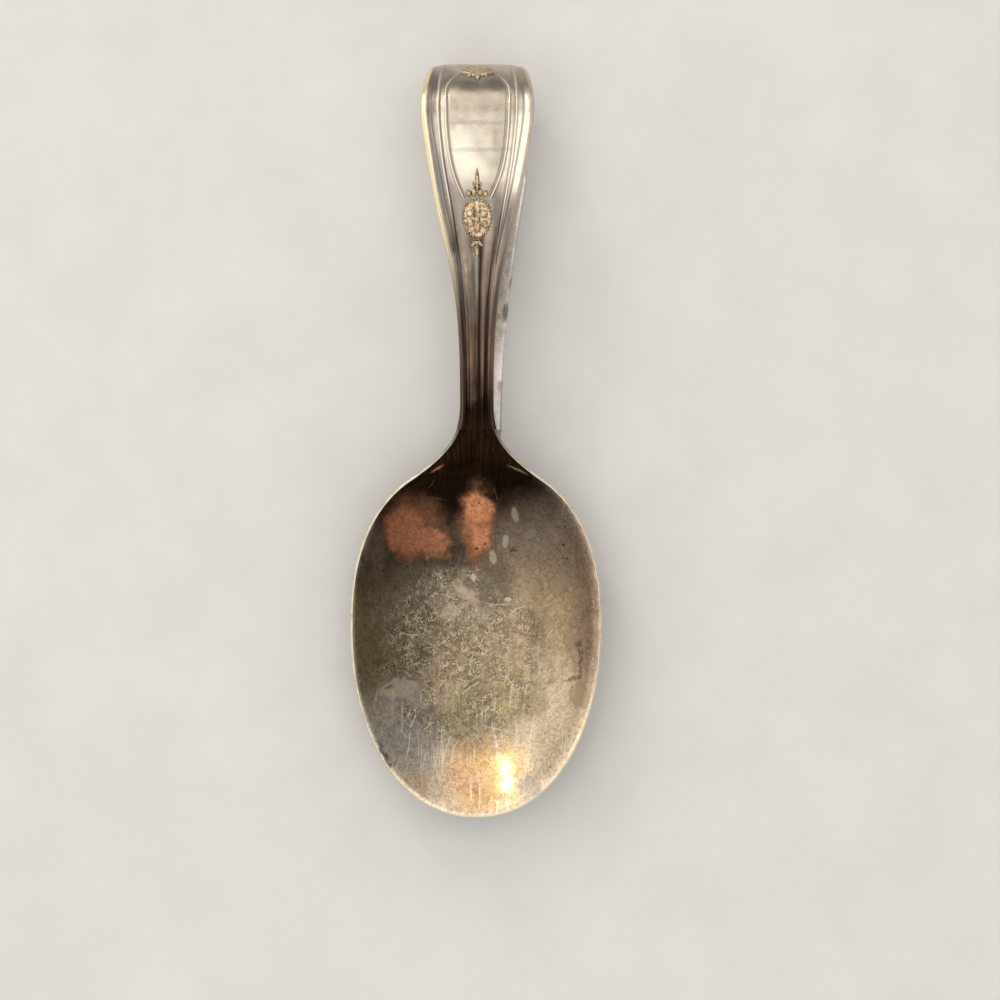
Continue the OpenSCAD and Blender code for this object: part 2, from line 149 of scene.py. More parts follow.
def press_blank(around: int, along: int, die: Callable[[Array, Array], Pressing]) -> Mesh:
    """Cuts a flat grid and presses it with a die, then welds its doubled rows and poles.

    Args:
        around: Cells of the grid across.
        along: Cells of the grid along.
        die: Gives the pressing for whole-number columns and rows.

    Returns:
        The pressed mesh, in metres.
    """
    mesh = bmesh.new()
    bmesh.ops.create_grid(mesh, x_segments=around, y_segments=along, size=0.5)
    flat = np.array([v.co[:2] for v in mesh.verts])
    column = np.rint((flat[:, 0] + 0.5) * around).astype(int)
    row = np.rint((flat[:, 1] + 0.5) * along).astype(int)
    pressing = die(column, row)
    for vert, place in zip(mesh.verts, pressing.places * MM):
        vert.co = place
    for name, shares in pressing.paint.items():
        layer = mesh.verts.layers.float.new(name)
        for vert, share in zip(mesh.verts, shares):
            vert[layer] = share
    bmesh.ops.remove_doubles(mesh, verts=mesh.verts, dist=WELD)
    return mesh


def close_ends(mesh: Mesh) -> None:
    """Fills each open end with a flat cap and keeps the cap's border crisp."""
    rims = [edge for edge in mesh.edges if edge.is_boundary]
    for edge in rims:
        edge.smooth = False
    bmesh.ops.holes_fill(mesh, edges=rims, sides=0)


def finish_piece(name: str, mesh: Mesh, material: Material,
                 nodes: tuple[str, ...]) -> bpy.types.Object:
    """Turns a mesh into a piece of the spoon that rides on its one body.

    Args:
        name: The piece's name.
        mesh: The finished mesh, in metres.
        material: Its finish.
        nodes: CAD nodes that the piece stands for.

    Returns:
        The new object.
    """
    bmesh.ops.recalc_face_normals(mesh, faces=mesh.faces)
    data = bpy.data.meshes.new(name)
    for face in mesh.faces:
        face.smooth = True
    mesh.to_mesh(data)
    mesh.free()
    data.materials.append(material)
    piece = bpy.data.objects.new(name, data)
    bpy.context.scene.collection.objects.link(piece)
    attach(piece, "root")
    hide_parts(*nodes)
    LOG.info("%s: %d faces", name, len(data.polygons))
    return piece


# Sizes of the struck blank

@dataclass(frozen=True, kw_only=True)
class BlankSizes:
    """Sizes that the bowl and the handle share, since they are one blank."""

    seam_y: float
    seam_z: float
    seam_half: float = 2.52
    seam_ridge: float = 0.3
    stem_half: float = 2.1
    stem_t: float = 2.0
    flare_l: float = 3.1
    edge_r: float = 0.3
    back_r: float = 0.2


@dataclass(frozen=True, kw_only=True)
class BowlSizes(BlankSizes):
    """Sizes of the bowl, read off the frame where it gives them."""

    half_w: float
    tip_y: float
    tip_l: float = 24.4
    neck_l: float = 20.6
    rim_z: float = 8.3
    tip_drop: float = 0.3
    wall: float = 1.15
    lip_w: float = 0.9
    edge_h: float = 0.5
    wear_d: float = 0.06
    tip_power: float = 2.15
    neck_power: float = 2.3
    dish_power: float = 2.55
    shoulder: float = 0.885
    pull: float = 0.3
    thicken_l: float = 5.5
    back_reach: float = 0.8
    ridge_run: float = 3.2
    worn_w: float = 0.23
    worn_fade: float = 0.13
    dull_run: float = 7.0
    dull_share: float = 0.75
    ring_power: float = 0.9
    lip_power: float = 1.3
    lip_level: float = 0.42

    @property
    def wide_y(self) -> float:
        """Place of the widest line."""
        return self.tip_y + self.tip_l

    @property
    def oval_end_y(self) -> float:
        """Place of the oval's neck end."""
        return self.wide_y + self.neck_l


@dataclass(frozen=True, kw_only=True)
class HandleSizes(BlankSizes):
    """Sizes of the strip from the seam round the loop and back."""

    top_y: float
    stem_l: float = 20.0
    stem_power: float = 3.4
    panel_start: float = 3.4
    panel_end: float = 6.85
    panel_bulge: float = 0.25
    handle_half: float = 7.05
    turn_half: float = 5.9
    bend_half: float = 5.35
    strap_half: float = 2.2
    strap_power: float = 1.8
    panel_t: float = 1.4
    strap_t: float = 1.2
    panel_crown: float = 0.3
    bend_crown: float = 0.5
    bend_r: float = 8.25
    rise: float = math.radians(5)
    rest_l: float = 6.0
    lean: float = 0.9
    field_d: float = 0.14
    widest_deg: float = 16.0
    frame_y: float = 29.75
    frame_rise: float = 3.9
    frame_in: float = 1.6
    frame_swell: float = 2.43
    frame_power: float = 1.15
    frame_close: float = 0.62
    close_deg: float = 24.0
    close_run_deg: float = 40.0
    step_from: float = 0.58
    step_to: float = 0.655
    step_y: float = 26.0
    step_run: float = 10.0

    @property
    def panel_y(self) -> float:
        """Place where the stem becomes the panel."""
        return self.seam_y + self.stem_l

    @property
    def bend_y(self) -> float:
        """Place of the bend's centre."""
        return self.top_y - self.bend_r

    @property
    def arc_start(self) -> Array:
        """Point where the straight panel runs into the bend."""
        return np.array([self.bend_y - self.bend_r * math.sin(self.rise),
                         self.bend_r + self.bend_r * math.cos(self.rise)])

    @property
    def panel_start_point(self) -> Array:
        """Point where the straight panel begins."""
        end = self.arc_start
        return np.array([self.panel_y, end[1] - (end[0] - self.panel_y) * math.tan(self.rise)])

    @property
    def panel_run(self) -> float:
        """Length of the straight panel along its slope."""
        return (self.arc_start[0] - self.panel_y) / math.cos(self.rise)


# Bowl

@dataclass
class Bowl:
    """The struck bowl: dish, rolled lip, back and the neck down to the seam."""

    sizes: BowlSizes
    shoulder_cells: int = 44
    neck_cells: int = 40
    tip_cells: int = 84
    seam_cells: int = 40
    dish_cells: int = 66
    lip_cells: int = 18
    wall_cells: int = 8
    back_cells: int = 56

    def neck_arc(self, inset: float, angle: Array) -> Array:
        """Returns points of the oval's neck half, inset, for angles from the widest line."""
        s = self.sizes
        return np.stack([(s.half_w - inset) * np.cos(angle) ** (2 / s.neck_power),
                         s.wide_y + (s.neck_l - inset) * np.sin(angle) ** (2 / s.neck_power)], 1)

    def tip_arc(self, inset: float, angle: Array) -> Array:
        """Returns points of the oval's tip half, inset, for angles from the widest line."""
        s = self.sizes
        return np.stack([(s.half_w - inset) * np.maximum(np.cos(angle), 0) ** (2 / s.tip_power),
                         s.wide_y - (s.tip_l - inset) * np.sin(angle) ** (2 / s.tip_power)], 1)

    def outline(self, inset: float) -> Array:
        """Returns the closed plan outline at an inset, from the seam's right corner round the tip.

        Args:
            inset: Distance inside the rim's outer face.

        Returns:
            An array of points in plan.
        """
        s = self.sizes
        turn = math.asin(s.shoulder ** (s.neck_power / 2))
        join = self.neck_arc(inset, np.array([turn]))[0]
        step = math.radians(1)
        before, after = self.neck_arc(inset, np.array([turn - step, turn + step]))
        way = (after - before) / np.linalg.norm(after - before)
        seam = np.array([s.seam_half - inset, s.seam_y])
        flare = np.array([2 * (s.seam_half - s.stem_half) / s.flare_l, -1.0])
        flare = flare / np.linalg.norm(flare)
        pull = s.pull * np.linalg.norm(seam - join)
        shoulder = bezier([seam, seam + pull * flare, join + pull * way, join],
                          np.linspace(0, 1, self.shoulder_cells + 1))
        neck = self.neck_arc(inset, turn * (1 - np.arange(1, self.neck_cells + 1) / self.neck_cells))
        tip = self.tip_arc(inset, np.pi / 2 * np.arange(1, self.tip_cells + 1) / self.tip_cells)
        right = np.concatenate([shoulder, neck, tip])
        left = right[:-1][::-1] * np.array([-1, 1])
        across = np.linspace(-right[0, 0], right[0, 0], self.seam_cells + 1)[1:-1]
        seam_line = np.stack([across, np.full(len(across), s.seam_y)], 1)
        return np.concatenate([right, left, seam_line])

    def oval(self, p: Array, inset: float, past: float) -> Array:
        """Returns 1 on the inset oval, less inside it and more outside it."""
        s = self.sizes
        neck = p[:, 1] > s.wide_y
        power = np.where(neck, s.neck_power, s.tip_power)
        reach = np.where(neck, s.neck_l + past, s.tip_l) - inset
        across = (np.abs(p[:, 0]) / (s.half_w - inset)) ** power
        return (across + (np.abs(p[:, 1] - s.wide_y) / reach) ** power) ** (1 / power)

    def dish(self, p: Array, inset: float, past: float) -> Array:
        """Returns the share of full depth of the dish at points in plan."""
        s = self.sizes
        narrow = 1 - ease(np.abs(p[:, 0]) / (0.3 * s.half_w))
        soft = mix(0.05, 0.25, ease((p[:, 1] - s.wide_y) / s.neck_l) * narrow)
        inside = 1 - self.oval(p, inset, past) ** s.dish_power
        clipped = (inside + np.sqrt(inside * inside + soft * soft)) / 2
        return clipped * (1 - ease((p[:, 1] - s.oval_end_y) / (s.seam_y - s.oval_end_y)))

    def rim_height(self, y: Array) -> Array:
        """Returns the height of the rim along the bowl."""
        s = self.sizes
        towards_neck = s.rim_z + (s.seam_z - s.rim_z) * ease((y - s.wide_y) / (s.seam_y - s.wide_y))
        towards_tip = s.rim_z - s.tip_drop * np.clip((s.wide_y - y) / s.tip_l, 0, None) ** 2
        return np.where(y > s.wide_y, towards_neck, towards_tip)

    def top_height(self, p: Array) -> Array:
        """Returns the dish's height, with the stem's ridges running out over the neck."""
        s = self.sizes
        shown = s.seam_ridge * (1 - ease((s.seam_y - p[:, 1]) / s.ridge_run))
        ridges = stem_ridges(p[:, 0] / s.seam_half) * shown
        return self.rim_height(p[:, 1]) - (s.rim_z - s.wall) * self.dish(p, s.lip_w, 0.0) + ridges

    def edge_depth(self, y: Array) -> Array:
        """Returns the thickness of the metal at the rim."""
        s = self.sizes
        start = s.oval_end_y - s.thicken_l
        return mix(s.edge_h, s.stem_t, ease((y - start) / (s.seam_y - start)))

    def back_height(self, p: Array) -> Array:
        """Returns the height of the back at points in plan."""
        s = self.sizes
        depth = s.rim_z - s.edge_h + s.wear_d
        low = self.rim_height(p[:, 1]) - self.edge_depth(p[:, 1]) - depth * self.dish(p, 0.0, s.back_reach)
        return np.maximum(low, 0.0)

    def profile(self) -> list[tuple[Array, Array, float, float]]:
        """Works out the rings of the shell, from the dish's middle over the lip to the back's middle.

        Returns:
            For each ring its plan points, heights, worn-edge share and face share.
        """
        s = self.sizes
        middle = np.array([0.0, s.wide_y])
        lip = self.outline(s.lip_w)
        rim = self.outline(0.0)
        rings = []
        for share in np.linspace(0, 1, self.dish_cells + 1) ** s.ring_power:
            p = middle + share * (lip - middle)
            rings.append((p, self.top_height(p), 0.0, 1.0))
        lip_fall = self.rim_height(lip[:, 1]) - self.top_height(lip)
        for index in range(1, self.lip_cells + 1):
            share = 1 - index / self.lip_cells
            inset = s.lip_w * share ** s.lip_power
            p = self.outline(inset)
            fall = lip_fall * np.clip((inset / s.lip_w - s.lip_level) / (1 - s.lip_level), 0, 1) ** 2
            z = self.rim_height(p[:, 1]) - fall - corner_fall(np.full(len(p), inset), s.edge_r)
            worn = float(1 - ease((inset - s.worn_w) / s.worn_fade))
            rings.append((p, z, worn, 1.0))
        high = self.rim_height(rim[:, 1]) - s.edge_r
        low = self.back_height(rim) + s.back_r
        for index in range(1, self.wall_cells + 1):
            share = index / self.wall_cells
            rings.append((rim, mix(high, low, share), float(1 - ease(share * 2)), 0.5))
        for share in (0.35, 0.7, 1.0):
            p = self.outline(s.back_r * (1 - math.cos(share * math.pi / 2)))
            z = self.back_height(p) + s.back_r * (1 - math.sin(share * math.pi / 2))
            rings.append((p, z, 0.0, 0.0))
        tuck = self.outline(s.back_r)
        for share in (1 - np.linspace(0, 1, self.back_cells + 1)[1:]) ** s.ring_power:
            p = middle + share * (tuck - middle)
            rings.append((p, self.back_height(p), 0.0, 0.0))
        return rings

    def build(self, material: Material) -> bpy.types.Object:
        """Presses the shell, opens it at the seam and caps it there.

        Args:
            material: The bowl's finish.

        Returns:
            The bowl.
        """
        rings = self.profile()
        count = len(rings[0][0])

        def die(column: Array, row: Array) -> Pressing:
            """Places each cell corner on its ring."""
            plan = np.stack([ring[0] for ring in rings])[row, column % count]
            z = np.stack([ring[1] for ring in rings])[row, column % count]
            edge = np.array([ring[2] for ring in rings])[row]
            face = np.array([ring[3] for ring in rings])[row]
            near_seam = 1 - ease((self.sizes.seam_y + 0.5 - plan[:, 1]) / self.sizes.dull_run)
            paint = {"edge": edge * (1 - self.sizes.dull_share * near_seam), "face": face}
            return Pressing(np.concatenate([plan, z[:, None]], 1), paint)

        mesh = press_blank(count, len(rings) - 1, die)
        limit = (self.sizes.seam_y - 1e-4) * MM
        inner = [f for f in mesh.faces if all(v.co.y > limit for v in f.verts)]
        bmesh.ops.delete(mesh, geom=inner, context="FACES")
        close_ends(mesh)
        return finish_piece("bowl_shell", mesh, material, ("bowl",))


@dataclass
class HeelDrop:
    """The tongue of metal on the bowl's back, where the strap comes home under the neck."""

    bowl: Bowl
    length: float = 9.4
    lean: float = 0.9
    half_w: float = 2.25
    thick: float = 1.45
    plan_power: float = 2.6
    narrowed: float = 0.8
    thinned: float = 0.82
    thin_power: float = 1.5
    round_power: float = 0.75
    seated: float = 0.12
    around: int = 48
    along: int = 60

    def build(self, material: Material) -> bpy.types.Object:
        """Presses the tongue against the bowl's back.

        Args:
            material: The handle's finish.

        Returns:
            The tongue.
        """
        s = self.bowl.sizes

        def die(column: Array, row: Array) -> Pressing:
            """Places each corner on the tongue's skin: half of it against the bowl, half hanging."""
            b = row / self.along
            turn = 2 * np.pi * column / self.around
            half = self.half_w * np.sqrt(np.clip(1 - b ** self.plan_power, 0, None))
            x = np.cos(turn) * (half * mix(1.0, self.narrowed, b))
            y = s.seam_y - self.length * b
            seat = self.bowl.back_height(np.stack([x, y], 1))
            up = np.sin(turn)
            deep = self.thick * (1 - self.thinned * b ** self.thin_power)
            deep = deep * np.sqrt(np.clip(1 - b ** 4, 0, None))
            hang = np.where(up < 0, np.abs(up) ** self.round_power * deep, -self.seated * up)
            lean = self.lean * (1 - b) * ease(0.5 - 4 * up)
            return Pressing(np.stack([x + lean, y, seat - hang], 1), {})

        mesh = press_blank(self.around, self.along, die)
        close_ends(mesh)
        return finish_piece("heel_tongue", mesh, material, ("heel_drop",))


# Handle

# Humps: height, place and half width. The stem's are in shares of its half width, the panel's in millimetres.
STEM_RIDGES = ((0.09, 0.70, 0.15), (-0.13, 0.52, 0.14), (0.07, 0.34, 0.17))
STEM_GROOVE = ((-0.11, 0.10, 0.14),)
# The stem's dark and bright stripes: tarnish in the grooves and rubbed ridges, placed unevenly as painted
# shade and painted highlights of light from the left
STEM_TARNISH_AND_SHADE = ((0.8, -0.72, 0.17), (1.0, 0.12, 0.13), (0.9, 0.52, 0.09), (1.0, 0.93, 0.12), (0.35, -0.12, 0.12))
STEM_RUBS_AND_HIGHLIGHTS = ((0.7, -0.93, 0.1), (0.6, -0.42, 0.2), (0.8, 0.32, 0.13), (1.0, 0.69, 0.1))
EDGE_BEAD = ((0.1, 0.5, 0.5), (-0.07, 1.18, 0.3))
BORDER_THREADS = ((0.07, 0.26, 0.22), (-0.05, 0.0, 0.16))
INNER_THREAD = ((0.1, 0.0, 0.24), (-0.05, -0.36, 0.16))


def stem_ridges(share: Array) -> Array:
    """Returns the stem's relief in millimetres, for signed shares of the half width."""
    return humps(np.abs(share), STEM_RIDGES) + humps(share, STEM_GROOVE)


@dataclass
class HandleBlank:
    """The strip that is stem, panel, bend and return strap, pressed zone by zone from one section rule."""

    sizes: HandleSizes
    top_cells: int = 180
    corner_cells: int = 7
    side_cells: int = 3
    back_cells: int = 44
    stem_rows: int = 140
    panel_rows: int = 170
    bend_rows: int = 210
    rest_rows: int = 16
    strap_rows: int = 160

    def stem_knots(self) -> list[Array]:
        """Returns the side curve's control points on the stem."""
        s = self.sizes
        start = np.array([s.seam_y, s.seam_z])
        end = s.panel_start_point
        reach = 0.36 * s.stem_l
        return [start, start + np.array([reach, 0.0]),
                end - reach * np.array([math.cos(s.rise), math.sin(s.rise)]), end]

    def strap_knots(self) -> list[Array]:
        """Returns the side curve's control points on the return strap, from the rest to the seam."""
        s = self.sizes
        rest_y = s.bend_y - s.rest_l
        reach = 0.34 * (rest_y - s.seam_y)
        end = np.array([s.seam_y, s.seam_z - s.stem_t - s.strap_t])
        start = np.array([rest_y, 0.0])
        return [start, start - np.array([reach, 0.0]), end + np.array([reach, 0.0]), end]

    def stem_stations(self) -> tuple[Array, Array, dict[str, Numbers]]:
        """Works out the stem, from the seam to the panel.

        Returns:
            Its path, tangents and named sizes.
        """
        s = self.sizes
        share = np.linspace(0, 1, self.stem_rows + 1)
        knots = self.stem_knots()
        path = bezier(knots, share)
        run = path[:, 0] - s.seam_y
        along = run / s.stem_l
        flare = 1 - np.clip(run / s.flare_l, 0, 1)
        half = (s.stem_half + (s.seam_half - s.stem_half) * flare ** 2
                + (s.panel_start - s.stem_half) * np.clip(along, 0, 1) ** s.stem_power)
        return path, bezier_turn(knots, share), dict(
            run=run, half=half, thick=mix(s.stem_t, s.panel_t, along), crown=s.panel_crown * ease(along),
            panelled=ease((along - 0.55) / 0.45), ridged=mix(s.seam_ridge, 1.0, ease(run / 2.5)))

    def panel_stations(self) -> tuple[Array, Array, dict[str, Numbers]]:
        """Works out the straight panel.

        Returns:
            Its path, tangents and named sizes.
        """
        s = self.sizes
        share = np.linspace(0, 1, self.panel_rows + 1)
        path = s.panel_start_point + share[:, None] * (s.arc_start - s.panel_start_point)
        way = np.tile([math.cos(s.rise), math.sin(s.rise)], (len(path), 1))
        half = mix(s.panel_start, s.panel_end, share + s.panel_bulge * share * (1 - share))
        return path, way, dict(run=path[:, 0] - s.seam_y, half=half, thick=s.panel_t, crown=s.panel_crown,
                               ridged=1.0, turned=-s.rise)

    def bend_stations(self) -> tuple[Array, Array, dict[str, Numbers]]:
        """Works out the bend and the flat that the loop rests on.

        Angles in degrees run round the bend: 0 on top, 90 at the far end and 180 on the rest.

        Returns:
            Their path, tangents and named sizes.
        """
        s = self.sizes
        round_bend = np.linspace(-s.rise, np.pi, self.bend_rows + 1)
        on_rest = np.arange(1, self.rest_rows + 1) / self.rest_rows
        turn = np.concatenate([round_bend, np.full(self.rest_rows, np.pi)])
        flat = np.concatenate([0 * round_bend, on_rest * s.rest_l])
        path = np.stack([s.bend_y + s.bend_r * np.sin(turn) - flat, s.bend_r + s.bend_r * np.cos(turn)], 1)
        way = np.stack([np.cos(turn), -np.sin(turn)], 1)
        deg = np.degrees(turn)
        rise = math.degrees(s.rise)
        swell = (s.widest_deg - deg) / (s.widest_deg + rise)
        half = np.where(deg < s.widest_deg, s.handle_half - (s.handle_half - s.panel_end) * swell ** 2,
                        mix(s.handle_half, s.turn_half, ease((deg - s.widest_deg) / (90 - s.widest_deg))))
        half = np.where(deg > 90, mix(s.turn_half, s.bend_half, ease((deg - 90) / 60)), half)
        crown = np.where(deg < 80, mix(s.panel_crown, s.bend_crown, ease((deg + rise) / 80)),
                         s.bend_crown * (1 - ease((deg - 80) / 90)))
        return path, way, dict(
            run=s.bend_y - s.seam_y + s.bend_r * turn + flat, half=half, crown=crown, turned=turn,
            thick=mix(s.panel_t, s.strap_t, ease(deg / 180)), ridged=1 - ease((deg - 50) / 45),
            lean=s.lean * ease((deg - 90) / 90))

    def strap_stations(self) -> tuple[Array, Array, dict[str, Numbers]]:
        """Works out the return strap, from the rest to the seam.

        Returns:
            Its path, tangents and named sizes.
        """
        s = self.sizes
        share = np.linspace(0, 1, self.strap_rows + 1)
        knots = self.strap_knots()
        path = bezier(knots, share)
        along = np.clip((path[:, 0] - s.seam_y) / (knots[0][0] - s.seam_y), 0, 1)
        return path, bezier_turn(knots, share), dict(
            run=s.bend_y - s.seam_y + s.bend_r * np.pi + s.bend_y - path[:, 0],
            half=mix(s.strap_half, s.bend_half, along ** s.strap_power),
            thick=s.strap_t, turned=np.pi, lean=s.lean)

    def stations(self, stretch: Stretch) -> dict[str, Array]:
        """Works out the stations of a zone: path, normal, half width, thickness, crown and so on.

        Args:
            stretch: The zone.

        Returns:
            Named arrays with one row for each station.
        """
        zones = {Stretch.STEM: self.stem_stations, Stretch.PANEL: self.panel_stations,
                 Stretch.BEND: self.bend_stations, Stretch.STRAP: self.strap_stations}
        path, way, sizes = zones[stretch]()
        sizes = dict(crown=0.0, panelled=1.0, ridged=0.0, turned=0.0, lean=0.0) | sizes
        rows = {name: value * np.ones(len(path)) for name, value in sizes.items()}
        return dict(path=path, normal=np.stack([-way[:, 1], way[:, 0]], 1), **rows)

    def frame_line(self, y: Array, turned: Array) -> Array:
        """Returns how far from the middle the panel's inner thread runs.

        Args:
            y: Place along the spoon.
            turned: Angle by which the strip has turned over.

        Returns:
            Distances from the middle line.
        """
        s = self.sizes
        rising = np.clip((y - s.frame_y) / s.frame_rise, 0, None)
        line = s.frame_in + s.frame_swell * (1 - np.exp(-rising ** s.frame_power))
        closed = ease((turned - math.radians(s.close_deg)) / math.radians(s.close_run_deg)) ** 1.5
        return line * (1 - s.frame_close * closed)

    def step_line(self, half: Array, y: Array) -> Array:
        """Returns how far from the middle the border steps down to the panel's field."""
        s = self.sizes
        return mix(s.step_from, s.step_to, ease((y - s.step_y) / s.step_run)) * half

    def columns(self, st: dict[str, Array]) -> tuple[Array, Array, Array]:
        """Returns half width, place along the spoon and turned angle as columns."""
        return st["half"][:, None], st["path"][:, :1], st["turned"][:, None]

    def relief(self, x: Array, st: dict[str, Array]) -> Array:
        """Returns the struck relief on the front: edge bead, step, threads and the stem's ridges.

        Args:
            x: Distance from the middle line, one row for each station.
            st: The stations.

        Returns:
            Heights over the plain front.
        """
        half, y, turned = self.columns(st)
        far = np.abs(x)
        inset = half - far
        step = self.step_line(half, y)
        bead = humps(inset, EDGE_BEAD)
        sunk = -0.12 * (1 - ease((far - step + 0.12) / 0.24))
        threads = humps(far - step, BORDER_THREADS)
        line = self.frame_line(y, turned)
        inner = self.line_shown(y, turned) * humps(far - line, INNER_THREAD)
        crease = -0.03 * hump(y - 39.2 - 0.1 * np.sin(x), 0.45)
        crease = crease - 0.02 * hump(y - 35.8 + 0.12 * np.sin(x), 0.4)
        crease = crease * (turned < 0.5) * (far < line)
        panel = bead + sunk + threads + inner + crease
        stem = stem_ridges(x / half)
        return st["ridged"][:, None] * mix(stem, panel, st["panelled"][:, None])

    def line_shown(self, y: Array, turned: Array) -> Array:
        """Returns how fully the inner thread is struck: it starts over the medallion and ends on the bend."""
        return ease((y - 29.6) / 0.8) * (1 - ease((turned - 1.05) / 0.15))

    def tarnish(self, x: Array, st: dict[str, Array]) -> tuple[Array, Array]:
        """Returns where the front has gone dark and where it is rubbed bright; on the stem these shares also
        carry painted shade and painted highlights.

        Args:
            x: Distance from the middle line, one row for each station.
            st: The stations.

        Returns:
            Dark shares and bright shares.
        """
        half, y, turned = self.columns(st)
        far = np.abs(x)
        share = x / half
        step = self.step_line(half, y)
        line = self.frame_line(y, turned)
        shown = self.line_shown(y, turned)
        front = 1 - ease((turned - 0.95) / 0.6)
        pair = hump(far - step + 0.02, 0.17) + shown * hump(far - line + 0.34, 0.17)
        between = hump(far - step - 0.3, 0.2) + shown * hump(far - line, 0.2)
        streaked = 1 - ease((y - 24.5) / 7)
        dark = mix(pair, humps(share, STEM_TARNISH_AND_SHADE), streaked) * front
        bright = mix(between, humps(share, STEM_RUBS_AND_HIGHLIGHTS), streaked) * front
        return dark, bright

    def section(self, st: dict[str, Array]) -> tuple[Array, Array, dict[str, Array]]:
        """Works out the closed cross-section at every station.

        Args:
            st: The stations.

        Returns:
            Places across, heights and painted shares, one row for each station.
        """
        s = self.sizes
        half = st["half"][:, None]
        thick = st["thick"][:, None]
        crown = st["crown"][:, None]
        spread = np.linspace(-1, 1, self.top_cells + 1)[None, :]
        top_x = spread * (half - s.edge_r)
        fall = np.clip(np.abs(top_x) / half - 0.5, 0, None) / 0.5
        top_z = self.relief(top_x, st) - crown * fall ** 2
        turn = (np.arange(1, self.corner_cells + 1) / self.corner_cells * np.pi / 2)[None, :]
        edge_z = top_z[:, -1:]
        corner_x = half - s.edge_r + s.edge_r * np.sin(turn)
        corner_z = edge_z - s.edge_r * (1 - np.cos(turn))
        side = (np.arange(1, self.side_cells + 1) / self.side_cells)[None, :]
        side_z = mix(edge_z - s.edge_r, s.back_r - thick, side)
        side_x = half + 0 * side_z
        tuck = turn[:, 1::2]
        tuck_x = half - s.back_r * (1 - np.cos(tuck))
        tuck_z = s.back_r - thick - s.back_r * np.sin(tuck)
        back_x = np.linspace(1, -1, self.back_cells + 1)[None, 1:-1] * (half - s.back_r)
        back_z = -thick + 0 * back_x
        right_x = np.concatenate([corner_x, side_x, tuck_x], 1)
        right_z = np.concatenate([corner_z, side_z, tuck_z], 1)

        def all_round(top: Array, right: Array, back: Array) -> Array:
            """Joins shares of the front, the sides and the back into one row."""
            return np.concatenate([top, right, back, right[:, ::-1]], 1)

        x = np.concatenate([top_x, right_x, back_x, -right_x[:, ::-1]], 1)
        z = all_round(top_z, right_z, back_z)
        bead = hump(half - np.abs(top_x) - 0.3, 0.36)
        worn = np.concatenate([1 + 0 * corner_x, 0.7 * (1 - side) + 0 * side_x, 0 * tuck_x], 1)
        dark, bright = self.tarnish(top_x, st)
        wall = np.concatenate([1 + 0 * corner_x, 0.5 + 0 * side_x, 0 * tuck_x], 1)
        paint = {
            "edge": all_round(bead, worn, 0 * back_x),
            "sunk": all_round(dark, 0 * right_x, 0 * back_x),
            "high": all_round(bright, 0 * right_x, 0 * back_x),
            "face": all_round(1 + 0 * top_x, wall, 0 * back_x),
            "lane": x / half,
            "run": st["run"][:, None] + 0 * x,
        }
        return x, z, paint

    def build(self, stretch: Stretch, material: Material) -> bpy.types.Object:
        """Presses one zone of the strip.

        Args:
            stretch: The zone.
            material: The handle's finish.

        Returns:
            The zone's piece.
        """
        st = self.stations(stretch)
        x, z, paint = self.section(st)
        count = x.shape[1]

        def die(column: Array, row: Array) -> Pressing:
            """Places each corner of the grid on its station's section."""
            c = column % count
            across = x[row, c] + st["lean"][row]
            high = z[row, c]
            yz = st["path"][row] + st["normal"][row] * high[:, None]
            places = np.concatenate([across[:, None], yz], 1)
            return Pressing(places, {name: shares[row, c] for name, shares in paint.items()})

        mesh = press_blank(count, len(x) - 1, die)
        close_ends(mesh)
        name = f"{stretch.name.lower()}_strip"
        return finish_piece(name, mesh, material, (stretch.value,))

    def wrap(self, mesh: Mesh, start: float) -> None:
        """Lays a flat ornament over the panel's field and on round the bend.

        Args:
            mesh: The ornament in millimetres: X across, Y along the strip, Z out of the field.
            start: Length along the strip, from the panel's start, where the ornament's Y is 0.
        """
        s = self.sizes
        begin = s.panel_start_point
        slope = np.array([math.cos(s.rise), math.sin(s.rise)])
        for vert in mesh.verts:
            run = start + vert.co.y
            high = vert.co.z - s.field_d
            if run < s.panel_run:
                at = begin + run * slope
                out = np.array([-slope[1], slope[0]])
            else:
                turn = (run - s.panel_run) / s.bend_r - s.rise
                out = np.array([math.sin(turn), math.cos(turn)])
                at = np.array([s.bend_y, s.bend_r]) + s.bend_r * out
            at = at + out * high
            vert.co = Vector((vert.co.x, at[0], at[1])) * MM


# Struck ornament, of traditional motifs

def add_seed(mesh: Mesh, at: Triple, size: Triple,
             turn: float = 0.0, point: float = 0.0, rib: float = 0.0, detail: int = 16) -> None:
    """Adds a seed, leaf or bead: a ball that is drawn to a point and creased along its rib.

    Args:
        mesh: Mesh in millimetres that takes the new ball.
        at: Its middle.
        size: Its half sizes.
        turn: Its angle about Z in degrees.
        point: How far its far end is drawn to a point, from 0 to 1.
        rib: Depth of the crease along its middle, as a share of its height.
        detail: Segments round the ball.
    """
    made = bmesh.ops.create_uvsphere(mesh, u_segments=detail, v_segments=detail // 2 + 2, radius=1.0,
                                     matrix=Matrix.Rotation(math.pi / 2, 4, "X"))
    for vert in made["verts"]:
        x, y, z = vert.co
        narrow = 1 - point * max(y, 0.0) ** 1.5
        crease = 1 - rib * math.exp(-(x / 0.22) ** 2)
        vert.co = Vector((x * narrow * size[0], y * size[1], z * crease * size[2]))
    place = Matrix.Translation(Vector(at)) @ Matrix.Rotation(math.radians(turn), 4, "Z")
    bmesh.ops.transform(mesh, matrix=place, verts=made["verts"])


